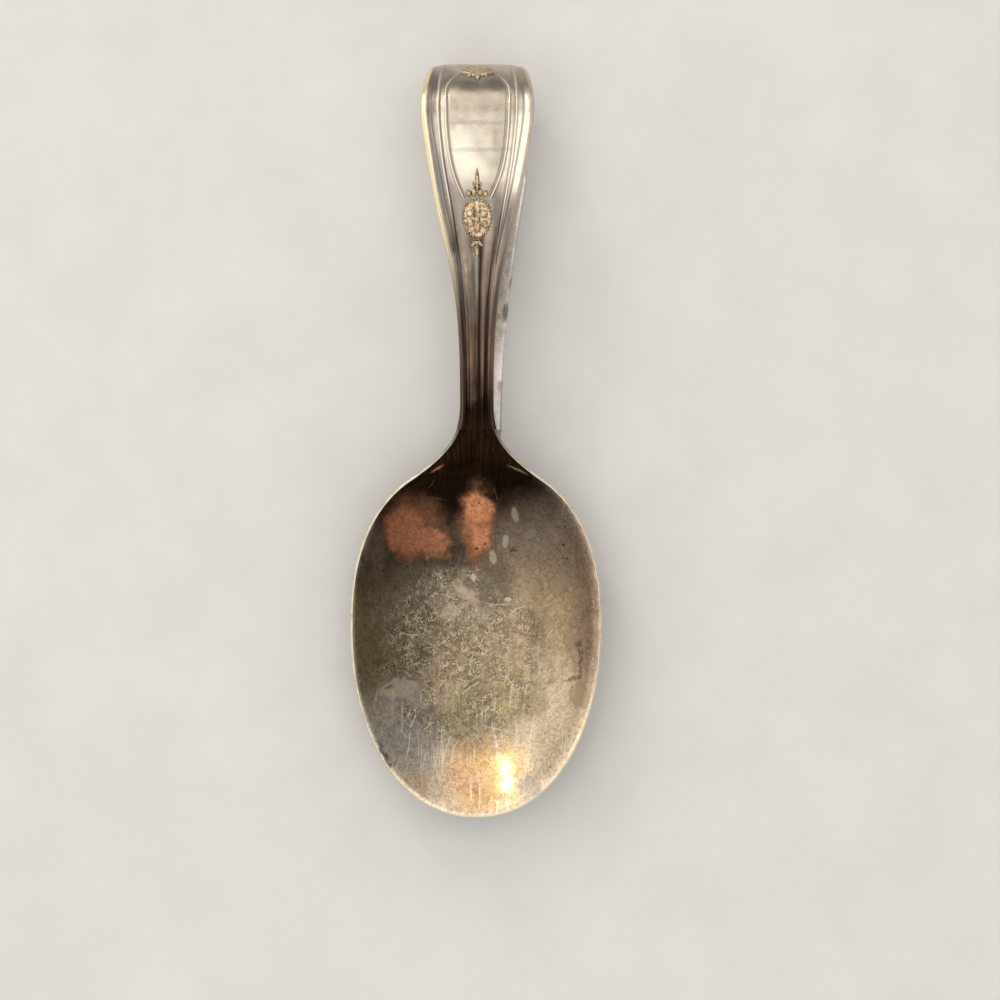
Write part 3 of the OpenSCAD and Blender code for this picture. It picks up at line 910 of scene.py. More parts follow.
@dataclass
class Ornament:
    """The struck ornament: rosette medallion, bud spray, husk pendant and the palmette on the bend."""

    handle: HandleBlank
    high: float = 0.42
    medallion_at: float = 5.95
    medallion_half: Pair = (2.0, 2.5)
    gap: float = 0.12
    bead: float = 0.2
    beads: int = 30
    petals: int = 6

    def finish(self, name: str, mesh: Mesh, start: float, material: Material, node: str) -> bpy.types.Object:
        """Wraps an ornament onto the strip and makes it a piece."""
        self.handle.wrap(mesh, start)
        return finish_piece(name, mesh, material, (node,))

    def plate_point(self, angle: float, inset: float) -> Pair:
        """Returns a point of the plate's outline, slightly egg-shaped with its broad end up."""
        wide, long = self.medallion_half
        y = (long - inset) * math.sin(angle)
        return (wide - inset) * math.cos(angle) * (1 + 0.1 * math.sin(angle) - 0.04), y

    def build_medallion(self, material: Material) -> bpy.types.Object:
        """Builds the oval plate with its beaded border and six-petalled rosette.

        Args:
            material: The ornament's finish.

        Returns:
            The medallion.
        """
        mesh = bmesh.new()
        made = bmesh.ops.create_uvsphere(mesh, u_segments=64, v_segments=32, radius=1.0)
        for vert in made["verts"]:
            spread = min(1.0, math.hypot(vert.co.x, vert.co.y) * 1.25)
            x, y = self.plate_point(math.atan2(vert.co.y, vert.co.x), self.bead)
            dish = self.high * (0.34 + 0.16 * (1 - spread) ** 2)
            flat = math.copysign(min(abs(vert.co.z) * 1.6, 1.0), vert.co.z)
            vert.co = Vector((x * spread, y * spread, flat * dish))
        for index in range(self.beads):
            x, y = self.plate_point(2 * math.pi * index / self.beads, self.bead)
            add_seed(mesh, (x, y, self.high * 0.3), (self.bead, self.bead, self.high * 0.55), detail=14)
        for index in range(self.petals):
            turn = 360 * index / self.petals
            angle = math.radians(turn)
            at = (-math.sin(angle) * 0.92, math.cos(angle) * 1.16, self.high * 0.36)
            add_seed(mesh, at, (0.46, 0.58, self.high * 0.5), turn=turn, point=-0.3, rib=0.35, detail=24)
        add_seed(mesh, (0, 0, self.high * 0.5), (0.4, 0.44, self.high * 0.55), rib=0.2)
        return self.finish("rosette_medallion", mesh, self.medallion_at, material, "medallion")

    def build_spray(self, material: Material) -> bpy.types.Object:
        """Builds the tall bud over its row of round lobes, above the medallion.

        Args:
            material: The ornament's finish.

        Returns:
            The spray.
        """
        mesh = bmesh.new()
        add_seed(mesh, (0, 2.1, 0.0), (0.3, 1.6, self.high), point=0.45, rib=0.3, detail=24)
        add_seed(mesh, (0, 1.05, 0.05), (0.24, 0.3, self.high), detail=16)
        for side in (-1, 1):
            add_seed(mesh, (side * 0.4, 0.6, 0.0), (0.36, 0.52, self.high * 0.95),
                     turn=-6 * side, point=0.2, rib=0.4, detail=20)
            add_seed(mesh, (side * 1.02, 0.46, 0.0), (0.34, 0.46, self.high * 0.85),
                     turn=-24 * side, point=0.2, rib=0.4, detail=20)
            add_seed(mesh, (side * 0.42, 1.5, 0.0), (0.14, 0.5, self.high * 0.6), turn=-16 * side, point=0.4)
        start = self.medallion_at + self.medallion_half[1] + self.gap
        return self.finish("bud_spray_relief", mesh, start, material, "leaf_spray")

    def build_pendant(self, material: Material) -> bpy.types.Object:
        """Builds the husks that hang below the medallion: a long drop between two short leaves.

        Args:
            material: The ornament's finish.

        Returns:
            The pendant.
        """
        mesh = bmesh.new()
        add_seed(mesh, (0, -1.32, 0.0), (0.3, 1.32, self.high * 0.9),
                 turn=180, point=0.5, rib=0.35, detail=24)
        add_seed(mesh, (0, -0.5, 0.05), (0.36, 0.45, self.high * 0.9),
                 turn=180, point=0.3, rib=0.3, detail=20)
        for side in (-1, 1):
            add_seed(mesh, (side * 0.42, -0.44, 0.0), (0.3, 0.55, self.high * 0.8),
                     turn=180 + 42 * side, point=0.4, rib=0.35, detail=20)
        start = self.medallion_at - self.medallion_half[1] - self.gap
        return self.finish("husk_pendant_relief", mesh, start, material, "husk_pendant")

    def build_palmette(self, material: Material) -> bpy.types.Object:
        """Builds the fan of lobes that turns over the bend, with its point towards the panel.

        Args:
            material: The ornament's finish.

        Returns:
            The palmette.
        """
        s = self.handle.sizes
        mesh = bmesh.new()
        for index in range(-3, 4):
            turn = -index * 25
            angle = math.radians(turn)
            length = 3.3 - 0.34 * abs(index)
            middle = length / 2 + 0.3
            at = (-math.sin(angle) * middle * 0.84, 1.1 + math.cos(angle) * middle * 0.9, 0.04)
            add_seed(mesh, at, (0.36, length / 2, self.high * 0.9),
                     turn=turn * 0.86, point=-0.35, rib=0.35, detail=20)
        add_seed(mesh, (0, 0.9, 0.05), (0.46, 0.9, self.high), turn=180, point=0.6, rib=0.3, detail=20)
        for side in (-1, 1):
            add_seed(mesh, (side * 0.8, 1.05, 0.03), (0.2, 0.55, self.high * 0.8), turn=52 * side, point=0.3)
        start = s.panel_run + s.bend_r * (math.radians(42.5) + s.rise)
        return self.finish("palmette_relief", mesh, start, material, "tip_palmette")


# Shader drawing

class Graph:
    """A pen that draws shader nodes into one tree."""

    def __init__(self, tree: bpy.types.NodeTree) -> None:
        """Takes the tree to draw in."""
        self.tree = tree

    def node(self, kind: str, given: dict[int | str, Feed] | None = None,
             **settings: object) -> bpy.types.Node:
        """Adds a node, sets its properties and feeds its inputs.

        Args:
            kind: The node's type, without the ShaderNode that each of them starts with.
            given: Values or sockets for its inputs, by number or by name.
            **settings: Properties to set on it.

        Returns:
            The node.
        """
        made = self.tree.nodes.new(f"ShaderNode{kind}")
        for name, value in settings.items():
            setattr(made, name, value)
        for key, value in (given or {}).items():
            self.feed(made.inputs[key], value)
        return made

    def feed(self, socket: Socket, value: Feed) -> None:
        """Links a socket to another one, or sets its own value."""
        if isinstance(value, Socket):
            self.tree.links.new(value, socket)
        else:
            socket.default_value = value

    def sum(self, kind: str, first: Feed, *others: Feed) -> Feed:
        """Works out a sum of the first value with each of the others in turn.

        Args:
            kind: The Math node's operation.
            first: First value.
            *others: The values that follow.

        Returns:
            The result's socket.
        """
        for other in others:
            first = self.node("Math", {0: first, 1: other}, operation=kind).outputs[0]
        return first

    def times(self, *values: Feed) -> Feed:
        """Multiplies values."""
        return self.sum("MULTIPLY", *values)

    def plus(self, *values: Feed) -> Feed:
        """Adds values."""
        return self.sum("ADD", *values)

    def minus(self, *values: Feed) -> Feed:
        """Takes the later values from the first."""
        return self.sum("SUBTRACT", *values)

    def rest(self, value: Feed) -> Feed:
        """Returns what a value leaves of 1."""
        return self.sum("SUBTRACT", 1.0, value)

    def most(self, *values: Feed) -> Feed:
        """Returns the greatest of some values."""
        return self.sum("MAXIMUM", *values)

    def size(self, value: Feed) -> Socket:
        """Returns a value without its sign."""
        return self.node("Math", {0: value}, operation="ABSOLUTE").outputs[0]

    def vector(self, kind: str, first: Feed, second: Feed) -> Socket:
        """Works out a sum of two vectors and returns the resulting vector."""
        return self.node("VectorMath", {0: first, 1: second}, operation=kind).outputs["Vector"]

    def length(self, vector: Feed) -> Socket:
        """Returns a vector's length."""
        return self.node("VectorMath", {0: vector}, operation="LENGTH").outputs["Value"]

    def reach(self, vector: Feed, along: Triple) -> Socket:
        """Returns how far a vector reaches along a direction."""
        return self.node("VectorMath", {0: vector, 1: along}, operation="DOT_PRODUCT").outputs["Value"]

    def parts(self, vector: Feed) -> tuple[Socket, ...]:
        """Returns the three parts of a vector."""
        return tuple(self.node("SeparateXYZ", {0: vector}).outputs)

    def packed(self, x: Feed, y: Feed) -> Socket:
        """Packs two values into a vector."""
        return self.node("CombineXYZ", {0: x, 1: y}).outputs[0]

    def step(self, value: Feed, low: Feed, high: Feed, to_low: float = 0.0, to_high: float = 1.0) -> Socket:
        """Maps a value smoothly from one range to another.

        Args:
            value: The value.
            low: Start of its range.
            high: End of its range.
            to_low: Result at the start.
            to_high: Result at the end.

        Returns:
            The result's socket.
        """
        given = dict(enumerate((value, low, high, to_low, to_high)))
        return self.node("MapRange", given, interpolation_type="SMOOTHSTEP").outputs[0]

    def across(self, value: Feed, level: Feed, soft: Feed) -> Socket:
        """Returns the smooth step of a value across a level, with a soft border to either side."""
        return self.step(value, self.minus(level, soft), self.plus(level, soft))

    def blend(self, share: Feed, first: Feed, second: Feed, kind: str = "MIX") -> Socket:
        """Mixes two colours.

        Args:
            share: How much of the second colour shows.
            first: First colour.
            second: Second colour.
            kind: The blend type.

        Returns:
            The colour's socket.
        """
        made = self.node("Mix", data_type="RGBA", blend_type=kind)
        named = {socket.identifier: socket for socket in made.inputs}
        for label, value in (("Factor_Float", share), ("A_Color", first), ("B_Color", second)):
            self.feed(named[label], value)
        return next(socket for socket in made.outputs if socket.identifier == "Result_Color")

    def noise(self, vector: Feed, scale: Feed, detail: float = 4.0, rough: float = 0.6,
              warp: float = 0.0, output: int | str = 0) -> Socket:
        """Draws cloud noise.

        Args:
            vector: Place in millimetres.
            scale: Cells for each millimetre.
            detail: Octaves.
            rough: Share kept from octave to octave.
            warp: How far the clouds are stirred.
            output: Number or name of the output.

        Returns:
            The noise's socket.
        """
        given = {"Vector": vector, "Scale": scale, "Detail": detail, "Roughness": rough, "Distortion": warp}
        return self.node("TexNoise", given).outputs[output]

    def turned(self, vector: Feed, turn: float = 0.0, scale: Triple = (1.0, 1.0, 1.0),
               shift: Triple = (0.0, 0.0, 0.0)) -> Socket:
        """Turns, stretches and shifts a place.

        Args:
            vector: The place.
            turn: Angle about Z in degrees.
            scale: Stretch along each axis.
            shift: Shift after that.

        Returns:
            The new place's socket.
        """
        given = {"Vector": vector, "Location": shift, "Rotation": (0.0, 0.0, math.radians(turn)),
                 "Scale": scale}
        return self.node("Mapping", given).outputs[0]

    def object_place(self) -> Socket:
        """Returns the place on the object in millimetres."""
        return self.turned(self.node("TexCoord").outputs["Object"], scale=(1 / MM, 1 / MM, 1 / MM))

    def use(self, group: bpy.types.NodeTree, place: Feed, **given: Feed) -> bpy.types.Node:
        """Lays an effect.

        Args:
            group: The effect's group.
            place: The place in millimetres.
            **given: Values of its other inputs, with underlines for spaces.

        Returns:
            The group's node.
        """
        named = {name.replace("_", " "): value for name, value in given.items()}
        return self.node("Group", {"Place": place, **named}, node_tree=group)

    def mask(self, group: bpy.types.NodeTree, place: Feed, **given: Feed) -> Socket:
        """Lays an effect that gives one mask, and returns that."""
        return self.use(group, place, **given).outputs["Mask"]


class EffectPen(Graph):
    """A pen for one effect's node group. Its first input is the place."""

    def __init__(self, name: str, **inputs: float | Triple) -> None:
        """Starts the group.

        Args:
            name: The effect's name.
            **inputs: Its other inputs, with underlines for spaces. Three numbers make a vector.
        """
        super().__init__(bpy.data.node_groups.new(name, "ShaderNodeTree"))
        for label, value in {"Place": (0.0, 0.0, 0.0), **inputs}.items():
            kind = "NodeSocketVector" if isinstance(value, tuple) else "NodeSocketFloat"
            self.socket(label.replace("_", " "), "INPUT", kind).default_value = value
        entry = self.tree.nodes.new("NodeGroupInput")
        self.given = {socket.name: socket for socket in entry.outputs if socket.name}
        self.place = self.given["Place"]

    def socket(self, label: str, way: str, kind: str) -> bpy.types.NodeTreeInterfaceSocket:
        """Adds a socket to the group's face."""
        return self.tree.interface.new_socket(name=label, in_out=way, socket_type=kind)

    def done(self, **results: Socket) -> bpy.types.NodeTree:
        """Makes the group's outputs, feeds them and returns the group."""
        for label in results:
            self.socket(label, "OUTPUT", "NodeSocketFloat")
        leave = self.tree.nodes.new("NodeGroupOutput")
        for label, value in results.items():
            self.feed(leave.inputs[label], value)
        return self.tree


class Effects:
    """Effects of age, and masks for painted light, that more than one finish uses, each built once as a node
    group.
    """

    def __init__(self) -> None:
        """Builds every group."""
        self.cloud = self.build_cloud()
        self.patch_mask = self.build_patch_mask()
        self.scratch = self.build_scratch()
        self.hairlines = self.build_hairlines()
        self.pits = self.build_pits()
        self.flecks = self.build_flecks()
        self.crust = self.build_crust()
        self.grain = self.build_grain()

    def local(self, pen: EffectPen) -> Socket:
        """Returns the place seen from a mark's middle, turned to lie along the mark."""
        given = {"Vector": pen.vector("SUBTRACT", pen.place, pen.given["Middle"]), "Angle": pen.given["Turn"]}
        return pen.node("VectorRotate", given, rotation_type="Z_AXIS", invert=True).outputs[0]

    def stroke(self, pen: EffectPen, local: Socket, bow: Feed, width: tuple[Feed, Feed], firm: float) -> Feed:
        """Draws a bowed stroke along Y.

        Args:
            pen: The pen, whose group has a Half length.
            local: The place seen from the stroke's middle.
            bow: How strongly it is bowed.
            width: Distances from its line where it is full and where it has ended.
            firm: Share of its half length where it begins to thin out.

        Returns:
            The stroke's mask.
        """
        along = pen.reach(local, (0.0, 1.0, 0.0))
        bent = pen.times(along, along, bow)
        off = pen.size(pen.minus(pen.reach(local, (1.0, 0.0, 0.0)), bent))
        far = pen.sum("DIVIDE", pen.size(along), pen.given["Half length"])
        return pen.times(pen.rest(pen.step(off, *width)), pen.rest(pen.step(far, firm, 1.0)))

    def build_cloud(self) -> bpy.types.NodeTree:
        """Builds uneven tarnish: clouds of a given size, level and softness."""
        pen = EffectPen("Tarnish clouds", Scale=0.2, Level=0.5, Softness=0.15)
        clouds = pen.noise(pen.place, pen.given["Scale"], 6.0, 0.6, 0.4)
        return pen.done(Mask=pen.across(clouds, pen.given["Level"], pen.given["Softness"]))

    def build_patch_mask(self) -> bpy.types.NodeTree:
        """Builds one patch mask: an oval in plan with a soft border, for stains and for painted light and
        shade; Shrink turns the oval into a circle.
        """
        pen = EffectPen("Patch_mask", Middle=(0.0, 0.0, 0.0), Shrink=(1.0, 1.0, 0.0), Turn=0.0, Softness=0.3,
                        Strength=1.0)
        far = pen.length(pen.vector("MULTIPLY", self.local(pen), pen.given["Shrink"]))
        inside = pen.rest(pen.across(far, 1.0, pen.given["Softness"]))
        return pen.done(Mask=pen.times(inside, pen.given["Strength"]))

    def build_scratch(self) -> bpy.types.NodeTree:
        """Builds one scratch: a thin bowed line of a given length."""
        pen = EffectPen("Scratch", Middle=(0.0, 0.0, 0.0), Half_length=2.0, Turn=0.0, Bow=0.0, Width=0.09,
                        Strength=1.0)
        stroke = self.stroke(pen, self.local(pen), pen.given["Bow"], (0.0, pen.given["Width"]), 0.5)
        return pen.done(Mask=pen.times(stroke, pen.given["Strength"]))

    def build_hairlines(self) -> bpy.types.NodeTree:
        """Builds fine hairlines along Y of the given place, in broken runs."""
        pen = EffectPen("Hairlines", Fineness=3.0, Length=8.0, Amount=0.5)
        x, y, _ = pen.parts(pen.place)
        bow = pen.times(pen.noise(pen.place, 0.06, 1.0, 0.5), 6.0)
        lanes = pen.packed(pen.times(pen.plus(x, bow), pen.given["Fineness"]),
                           pen.sum("DIVIDE", y, pen.given["Length"]))
        line = pen.step(pen.noise(lanes, 1.0, 3.0, 0.5), 0.56, 0.66)
        limit = pen.rest(pen.given["Amount"])
        shown = pen.step(pen.noise(pen.place, 0.3, 3.0), limit, pen.plus(limit, 0.2))
        return pen.done(Mask=pen.times(line, shown))

    def build_pits(self) -> bpy.types.NodeTree:
        """Builds scattered pits: small round spots in some of the cells of a grid."""
        pen = EffectPen("Pits", Density=0.6, Size=0.12, Share=0.3)
        cells = pen.node("TexVoronoi", {"Vector": pen.place, "Scale": pen.given["Density"]}, feature="F1")
        half = pen.times(pen.given["Size"], 0.5)
        spot = pen.rest(pen.step(cells.outputs["Distance"], half, pen.given["Size"]))
        pick = pen.parts(cells.outputs["Color"])
        return pen.done(Mask=pen.times(spot, pen.sum("LESS_THAN", pick[0], pen.given["Share"])))

    def build_flecks(self) -> bpy.types.NodeTree:
        """Builds short bowed strokes that lie every way, one in each kept cell of a grid."""
        pen = EffectPen("Flecks", Density=0.9, Half_length=0.42, Half_width=0.05, Bow=1.0, Share=0.8)
        density = {0: pen.place, "Scale": pen.given["Density"]}
        grown = pen.node("VectorMath", density, operation="SCALE").outputs[0]
        cells = pen.node("TexVoronoi", {"Vector": grown, "Scale": 1.0}, feature="F1", voronoi_dimensions="2D")
        spin, kept, sway = pen.parts(cells.outputs["Color"])
        given = {"Vector": pen.vector("SUBTRACT", grown, cells.outputs["Position"]),
                 "Angle": pen.times(spin, 2 * math.pi)}
        local = pen.node("VectorRotate", given, rotation_type="Z_AXIS").outputs[0]
        bow = pen.times(pen.minus(sway, 0.4), pen.given["Bow"], 4.0)
        wide = pen.given["Half width"]
        stroke = self.stroke(pen, local, bow, (pen.times(wide, 0.4), wide), 0.6)
        return pen.done(Mask=pen.times(stroke, pen.sum("LESS_THAN", kept, pen.given["Share"])))

    def build_crust(self) -> bpy.types.NodeTree:
        """Builds dried corrosion: curling pale threads and grains that gather in clumps."""
        pen = EffectPen("Corrosion crust", Cover=0.5)
        place = pen.place
        clumped = pen.across(pen.noise(place, 0.24, 4.0, 0.65, 0.8), pen.rest(pen.given["Cover"]), 0.09)
        long = pen.mask(self.flecks, place, Density=0.62, Half_length=0.48, Half_width=0.04, Share=0.7)
        short = pen.mask(self.flecks, pen.turned(place, 31.0, shift=(3.1, 7.7, 0.0)), Density=1.25,
                         Half_length=0.44, Half_width=0.075, Share=0.8)
        crumbs = pen.mask(self.flecks, pen.turned(place, -18.0, shift=(1.3, 2.9, 0.0)), Density=2.2,
                          Half_length=0.34, Half_width=0.13, Share=0.6)
        curl = pen.size(pen.minus(pen.noise(place, 0.5, 2.0, 0.6, 1.4), 0.53))
        rings = pen.rest(pen.step(curl, 0.008, 0.03))
        broken = pen.step(pen.noise(place, 1.9, 2.0), 0.48, 0.56)
        grains = pen.step(pen.noise(place, 2.3, 3.0, 0.7, 1.2), 0.54, 0.62, 0.0, 0.85)
        strokes = pen.most(long, short, pen.times(crumbs, 0.85), pen.times(rings, broken), grains)
        strength = pen.step(pen.noise(place, 0.6, 4.0, 0.75), 0.38, 0.56, 0.12, 1.0)
        shown = pen.times(strokes, strength, pen.step(clumped, 0.0, 1.0, 0.18, 1.0))
        return pen.done(Crust=shown, Ground=clumped)

    def build_grain(self) -> bpy.types.NodeTree:
        """Builds the metal's own unevenness: a height, in shares, and an uneven polish."""
        pen = EffectPen("Metal grain", Dents=1.0, Fine=0.3)
        dents = pen.times(pen.noise(pen.place, 0.28, 2.0, 0.5), pen.given["Dents"])
        fine = pen.times(pen.noise(pen.place, 3.0), pen.given["Fine"])
        polish = pen.step(pen.noise(pen.place, 0.9, 5.0), 0.3, 0.7)
        return pen.done(Height=pen.plus(dents, fine), Polish=polish)


# Finishes

@dataclass(frozen=True)
class Patch:
    """A mark at a known place in plan, for age and for painted light and shade: an oval of a named tint with
    a soft border.
    """

    tint: str
    at: Pair
    half: Pair
    strength: float = 0.8
    soft: float = 0.4
    turn: float = 0.0


@dataclass(frozen=True)
class Scratch:
    """A scratch at a known place in plan: its middle, half length, turn, bow and strength."""

    at: Pair
    half_l: float
    turn: float
    bow: float = 0.02
    strength: float = 0.6


@dataclass(frozen=True)
class Finish:
    """What every finish has: a name, a range of roughness and the depth of its bumps in millimetres."""

    name: str
    rough: Pair = (0.26, 0.38)
    bump_d: float = 0.02


class Coat(Graph):
    """A pen for one metal material, whose place is the one on the object."""

    def __init__(self, finish: Finish, effects: Effects) -> None:
        """Starts the material.

        Args:
            finish: Its finish, whose tints the patches name.
            effects: The shared effects.
        """
        self.finish = finish
        self.effects = effects
        self.material = bpy.data.materials.new(finish.name)
        self.material.use_nodes = True
        super().__init__(self.material.node_tree)
        self.place = self.object_place()

    def painted(self, label: str) -> Socket:
        """Returns a share that the pressing painted."""
        return self.node("Attribute", attribute_name=label).outputs["Fac"]

    def stirred(self, grain: float, amount: float) -> Socket:
        """Stirs the place, so that what is drawn on it gets ragged borders.

        Args:
            grain: Cells of the stirring for each millimetre.
            amount: How far it moves things, in millimetres.

        Returns:
            The stirred place.
        """
        centred = self.vector("SUBTRACT", self.noise(self.place, grain, output="Color"), (0.5, 0.5, 0.5))
        return self.vector("ADD", self.place,
                           self.vector("MULTIPLY", centred, (2 * amount, 2 * amount, 0.0)))

    def patch_mask(self, place: Feed, patch: Patch) -> Socket:
        """Returns the mask of one patch."""
        shrink = (1 / patch.half[0], 1 / patch.half[1], 0.0)
        return self.mask(self.effects.patch_mask, place, Middle=(*patch.at, 0.0), Shrink=shrink,
                         Turn=math.radians(patch.turn), Softness=patch.soft, Strength=patch.strength)

    def lay(self, place: Feed, colour: Feed, patches: tuple[Patch, ...]) -> Feed:
        """Lays patches over a colour, one after another.

        Args:
            place: The place in millimetres, stirred or not.
            colour: The colour so far.
            patches: The patches.

        Returns:
            The colour with the patches on it.
        """
        for patch in patches:
            colour = self.blend(self.patch_mask(place, patch), colour, getattr(self.finish, patch.tint))
        return colour

    def score(self, place: Feed, scratches: tuple[Scratch, ...]) -> Feed:
        """Draws scratches and returns the mask of them all."""
        return self.most(0.0, *(
            self.mask(self.effects.scratch, place, Middle=(*s.at, 0.0), Half_length=s.half_l,
                      Turn=math.radians(s.turn), Bow=s.bow, Strength=s.strength) for s in scratches))

    def grain(self, dents: float, fine: float) -> tuple[Socket, Socket]:
        """Returns the metal's own height, and its roughness in the finish's range."""
        made = self.use(self.effects.grain, self.place, Dents=dents, Fine=fine)
        return made.outputs["Height"], self.step(made.outputs["Polish"], 0.0, 1.0, *self.finish.rough)

    def done(self, colour: Feed, rough: Feed, height: Feed) -> Material:
        """Feeds the shader and returns the material."""
        given = {"Strength": 1.0, "Distance": self.finish.bump_d * MM, "Height": height}
        bump = self.node("Bump", given).outputs[0]
        shader = self.tree.nodes["Principled BSDF"]
        fed = {"Base Color": colour, "Metallic": 1.0, "Roughness": rough, "Normal": bump}
        for label, value in fed.items():
            self.feed(shader.inputs[label], value)
        return self.material


# Tarnish clouds with painted light: the umber strip down the left wall is painted shade; the warm patch on
# the right and the pale patches towards the tip are painted reflected light over tarnish.
BOWL_CLOUDS_AND_SHADING = (
    Patch("warm", (8.6, -26.5), (5.8, 13.0), 0.8, 0.6),
    Patch("mauve", (14.0, -25.0), (2.0, 12.0), 0.7, 0.5),
    Patch("umber", (-14.3, -20.0), (3.4, 12.5), 0.85, 0.6),
    Patch("slate", (-9.0, -37.0), (5.6, 6.0), 0.8, 0.5),
    Patch("pale", (10.5, -36.5), (5.5, 9.0), 0.95, 0.6),
    Patch("pale", (2.5, -44.8), (14.5, 6.5), 0.95, 0.5),
    Patch("olive", (-1.9, -34.4), (2.6, 4.2), 0.55, 0.5),
    Patch("ochre", (5.3, -32.3), (3.3, 3.2), 0.5, 0.5),
    Patch("dusk", (9.3, -11.5), (6.0, 6.0), 0.75, 0.6),
    Patch("dusk", (0.6, -18.8), (4.0, 3.0), 0.7, 0.5),
    Patch("umber", (-4.7, -16.5), (5.5, 2.0), 0.6, 0.5),
)
BOWL_BLOOMS_AND_GLOW = (
    Patch("neck", (-2.4, -14.4), (3.6, 2.2), 0.5, 0.6),
    Patch("rust", (-8.0, -10.9), (3.8, 4.0), 0.75, 0.4),
    Patch("copper", (-9.0, -11.6), (2.5, 2.9), 0.8, 0.3, 15.0),
    Patch("copper", (-6.0, -12.8), (2.8, 1.5), 0.7, 0.35, -24.0),
    Patch("rust", (0.1, -10.6), (2.3, 4.9), 0.65, 0.4),
    Patch("copper", (0.1, -10.4), (1.7, 4.1), 0.75, 0.4),
    Patch("blush", (0.1, -8.2), (1.8, 1.7), 0.75, 0.4),
    Patch("blush", (0.4, -12.4), (1.3, 1.4), 0.7, 0.4),
    # At the tip: worn gold and pink with a painted highlight, the warm glow of a lamp, laid over them
    Patch("gold", (0.9, -42.4), (4.6, 4.2), 0.85, 0.5),
    Patch("sun", (3.6, -41.6), (2.4, 2.6), 0.6, 0.5),
    Patch("rose", (-1.8, -43.0), (2.6, 1.5), 0.5, 0.5),
    Patch("rose", (-6.6, -43.4), (1.0, 0.9), 0.6, 0.5),
    Patch("ember", (-0.8, -39.3), (1.9, 0.7), 0.45, 0.5),
    Patch("ember", (0.0, -44.6), (0.6, 0.4), 0.6, 0.5),
    Patch("haze", (7.0, -43.9), (1.3, 1.7), 0.65, 0.5),
    Patch("haze", (-7.2, -39.7), (1.8, 2.5), 0.4, 0.5),
    Patch("under", (1.9, -18.9), (2.6, 3.8), 0.6, 0.6),
    Patch("warm", (9.6, -18.6), (3.4, 3.2), 0.42, 0.6),
    Patch("mauve", (13.6, -25.5), (1.3, 6.5), 0.45, 0.5),
    Patch("warm", (-4.4, -31.0), (2.6, 4.4), 0.4, 0.6),
    Patch("dusk", (-13.2, -13.6), (1.5, 3.4), 0.28, 0.5),
)
BOWL_BLOTCHES = (
    Patch("under", (2.0, -18.2), (2.8, 3.0), 0.5, 0.6),
    Patch("spot", (-9.8, -31.4), (2.6, 1.1), 0.5, 0.2, 8.0),
    Patch("umber", (13.2, -32.0), (1.3, 1.7), 0.4, 0.12),
    Patch("warm", (13.2, -32.0), (1.12, 1.52), 0.75, 0.14),
    Patch("umber", (12.0, -25.3), (1.0, 1.15), 0.4, 0.12),
    Patch("tide", (12.0, -25.3), (0.83, 0.98), 0.7, 0.14),
    Patch("spot", (-3.4, -21.7), (1.0, 1.0), 0.3, 0.4),
    Patch("spot", (-1.2, -19.5), (1.5, 0.7), 0.28, 0.4, -35.0),
    Patch("umber", (7.4, -18.4), (0.95, 1.15), 0.5, 0.12),
    Patch("tide", (7.4, -18.4), (0.78, 0.98), 0.7, 0.14),
    Patch("umber", (10.6, -17.8), (1.2, 1.7), 0.5, 0.12, -34.0),
    Patch("tide", (10.6, -17.8), (1.02, 1.52), 0.7, 0.14, -34.0),
    Patch("pit", (-3.4, -13.8), (0.7, 0.55), 0.75, 0.5),
    Patch("pit", (4.6, -13.9), (0.32, 0.28), 0.6, 0.5),
    Patch("pit", (-13.4, -15.9), (0.8, 0.6), 0.45, 0.5),
    Patch("pit", (13.0, -25.6), (0.35, 0.6), 0.45, 0.5),
    Patch("pit", (-12.4, -28.0), (0.7, 0.5), 0.4, 0.5),
    Patch("pit", (-11.2, -31.2), (0.6, 0.2), 0.6, 0.5),
    Patch("pit", (12.2, -30.0), (1.1, 0.2), 0.5, 0.5, 18.0),
    Patch("pit", (13.2, -27.9), (0.18, 2.2), 0.55, 0.5),
    Patch("pit", (-11.4, -39.8), (0.3, 2.1), 0.75, 0.5, 23.0),
    Patch("sun", (6.4, -29.4), (0.5, 0.8), 0.35, 0.8),
)
BOWL_MARKS = (
    Patch("umber", (4.9, -9.3), (0.6, 1.1), 0.5, 0.2, 15.0),
    Patch("spot", (4.9, -9.3), (0.42, 0.92), 0.45, 0.3, 15.0),
    Patch("umber", (3.7, -12.7), (0.55, 1.05), 0.6, 0.2, -5.0),
    Patch("spot", (3.7, -12.7), (0.38, 0.87), 0.55, 0.25, -5.0),
    Patch("umber", (2.1, -14.7), (0.58, 1.05), 0.5, 0.2, 12.0),
    Patch("spot", (2.1, -14.7), (0.42, 0.87), 0.55, 0.25, 12.0),
    Patch("umber", (6.8, -11.7), (1.08, 0.78), 0.4, 0.2, 30.0),
    Patch("spot", (-0.4, -17.3), (0.35, 0.45), 0.6, 0.3),
    Patch("spot", (6.8, -11.7), (0.9, 0.6), 0.22, 0.2, 30.0),
    Patch("spot", (4.0, -20.1), (0.4, 0.25), 0.7, 0.3),
    Patch("pit", (-1.9, -8.3), (0.17, 0.13), 0.9, 0.3),
    Patch("pit", (-0.5, -8.1), (0.3, 0.1), 0.8, 0.4, -35.0),
    Patch("pit", (0.3, -7.8), (0.18, 0.14), 0.8, 0.4),
    Patch("pit", (0.0, -13.6), (0.24, 0.2), 0.9, 0.4),
    Patch("pit", (1.1, -13.0), (0.28, 0.12), 0.9, 0.4, 40.0),
    Patch("pit", (11.2, -10.7), (0.15, 0.12), 0.9, 0.3),
    Patch("pit", (11.0, -13.0), (0.18, 0.15), 0.9, 0.3),
    Patch("pit", (11.4, -14.8), (0.12, 0.12), 0.8, 0.3),
    Patch("copper", (-4.95, -3.5), (0.8, 0.14), 0.4, 0.6, 30.0),
    Patch("dusk", (5.2, -3.6), (1.1, 0.12), 0.32, 0.6, -24.0),
)
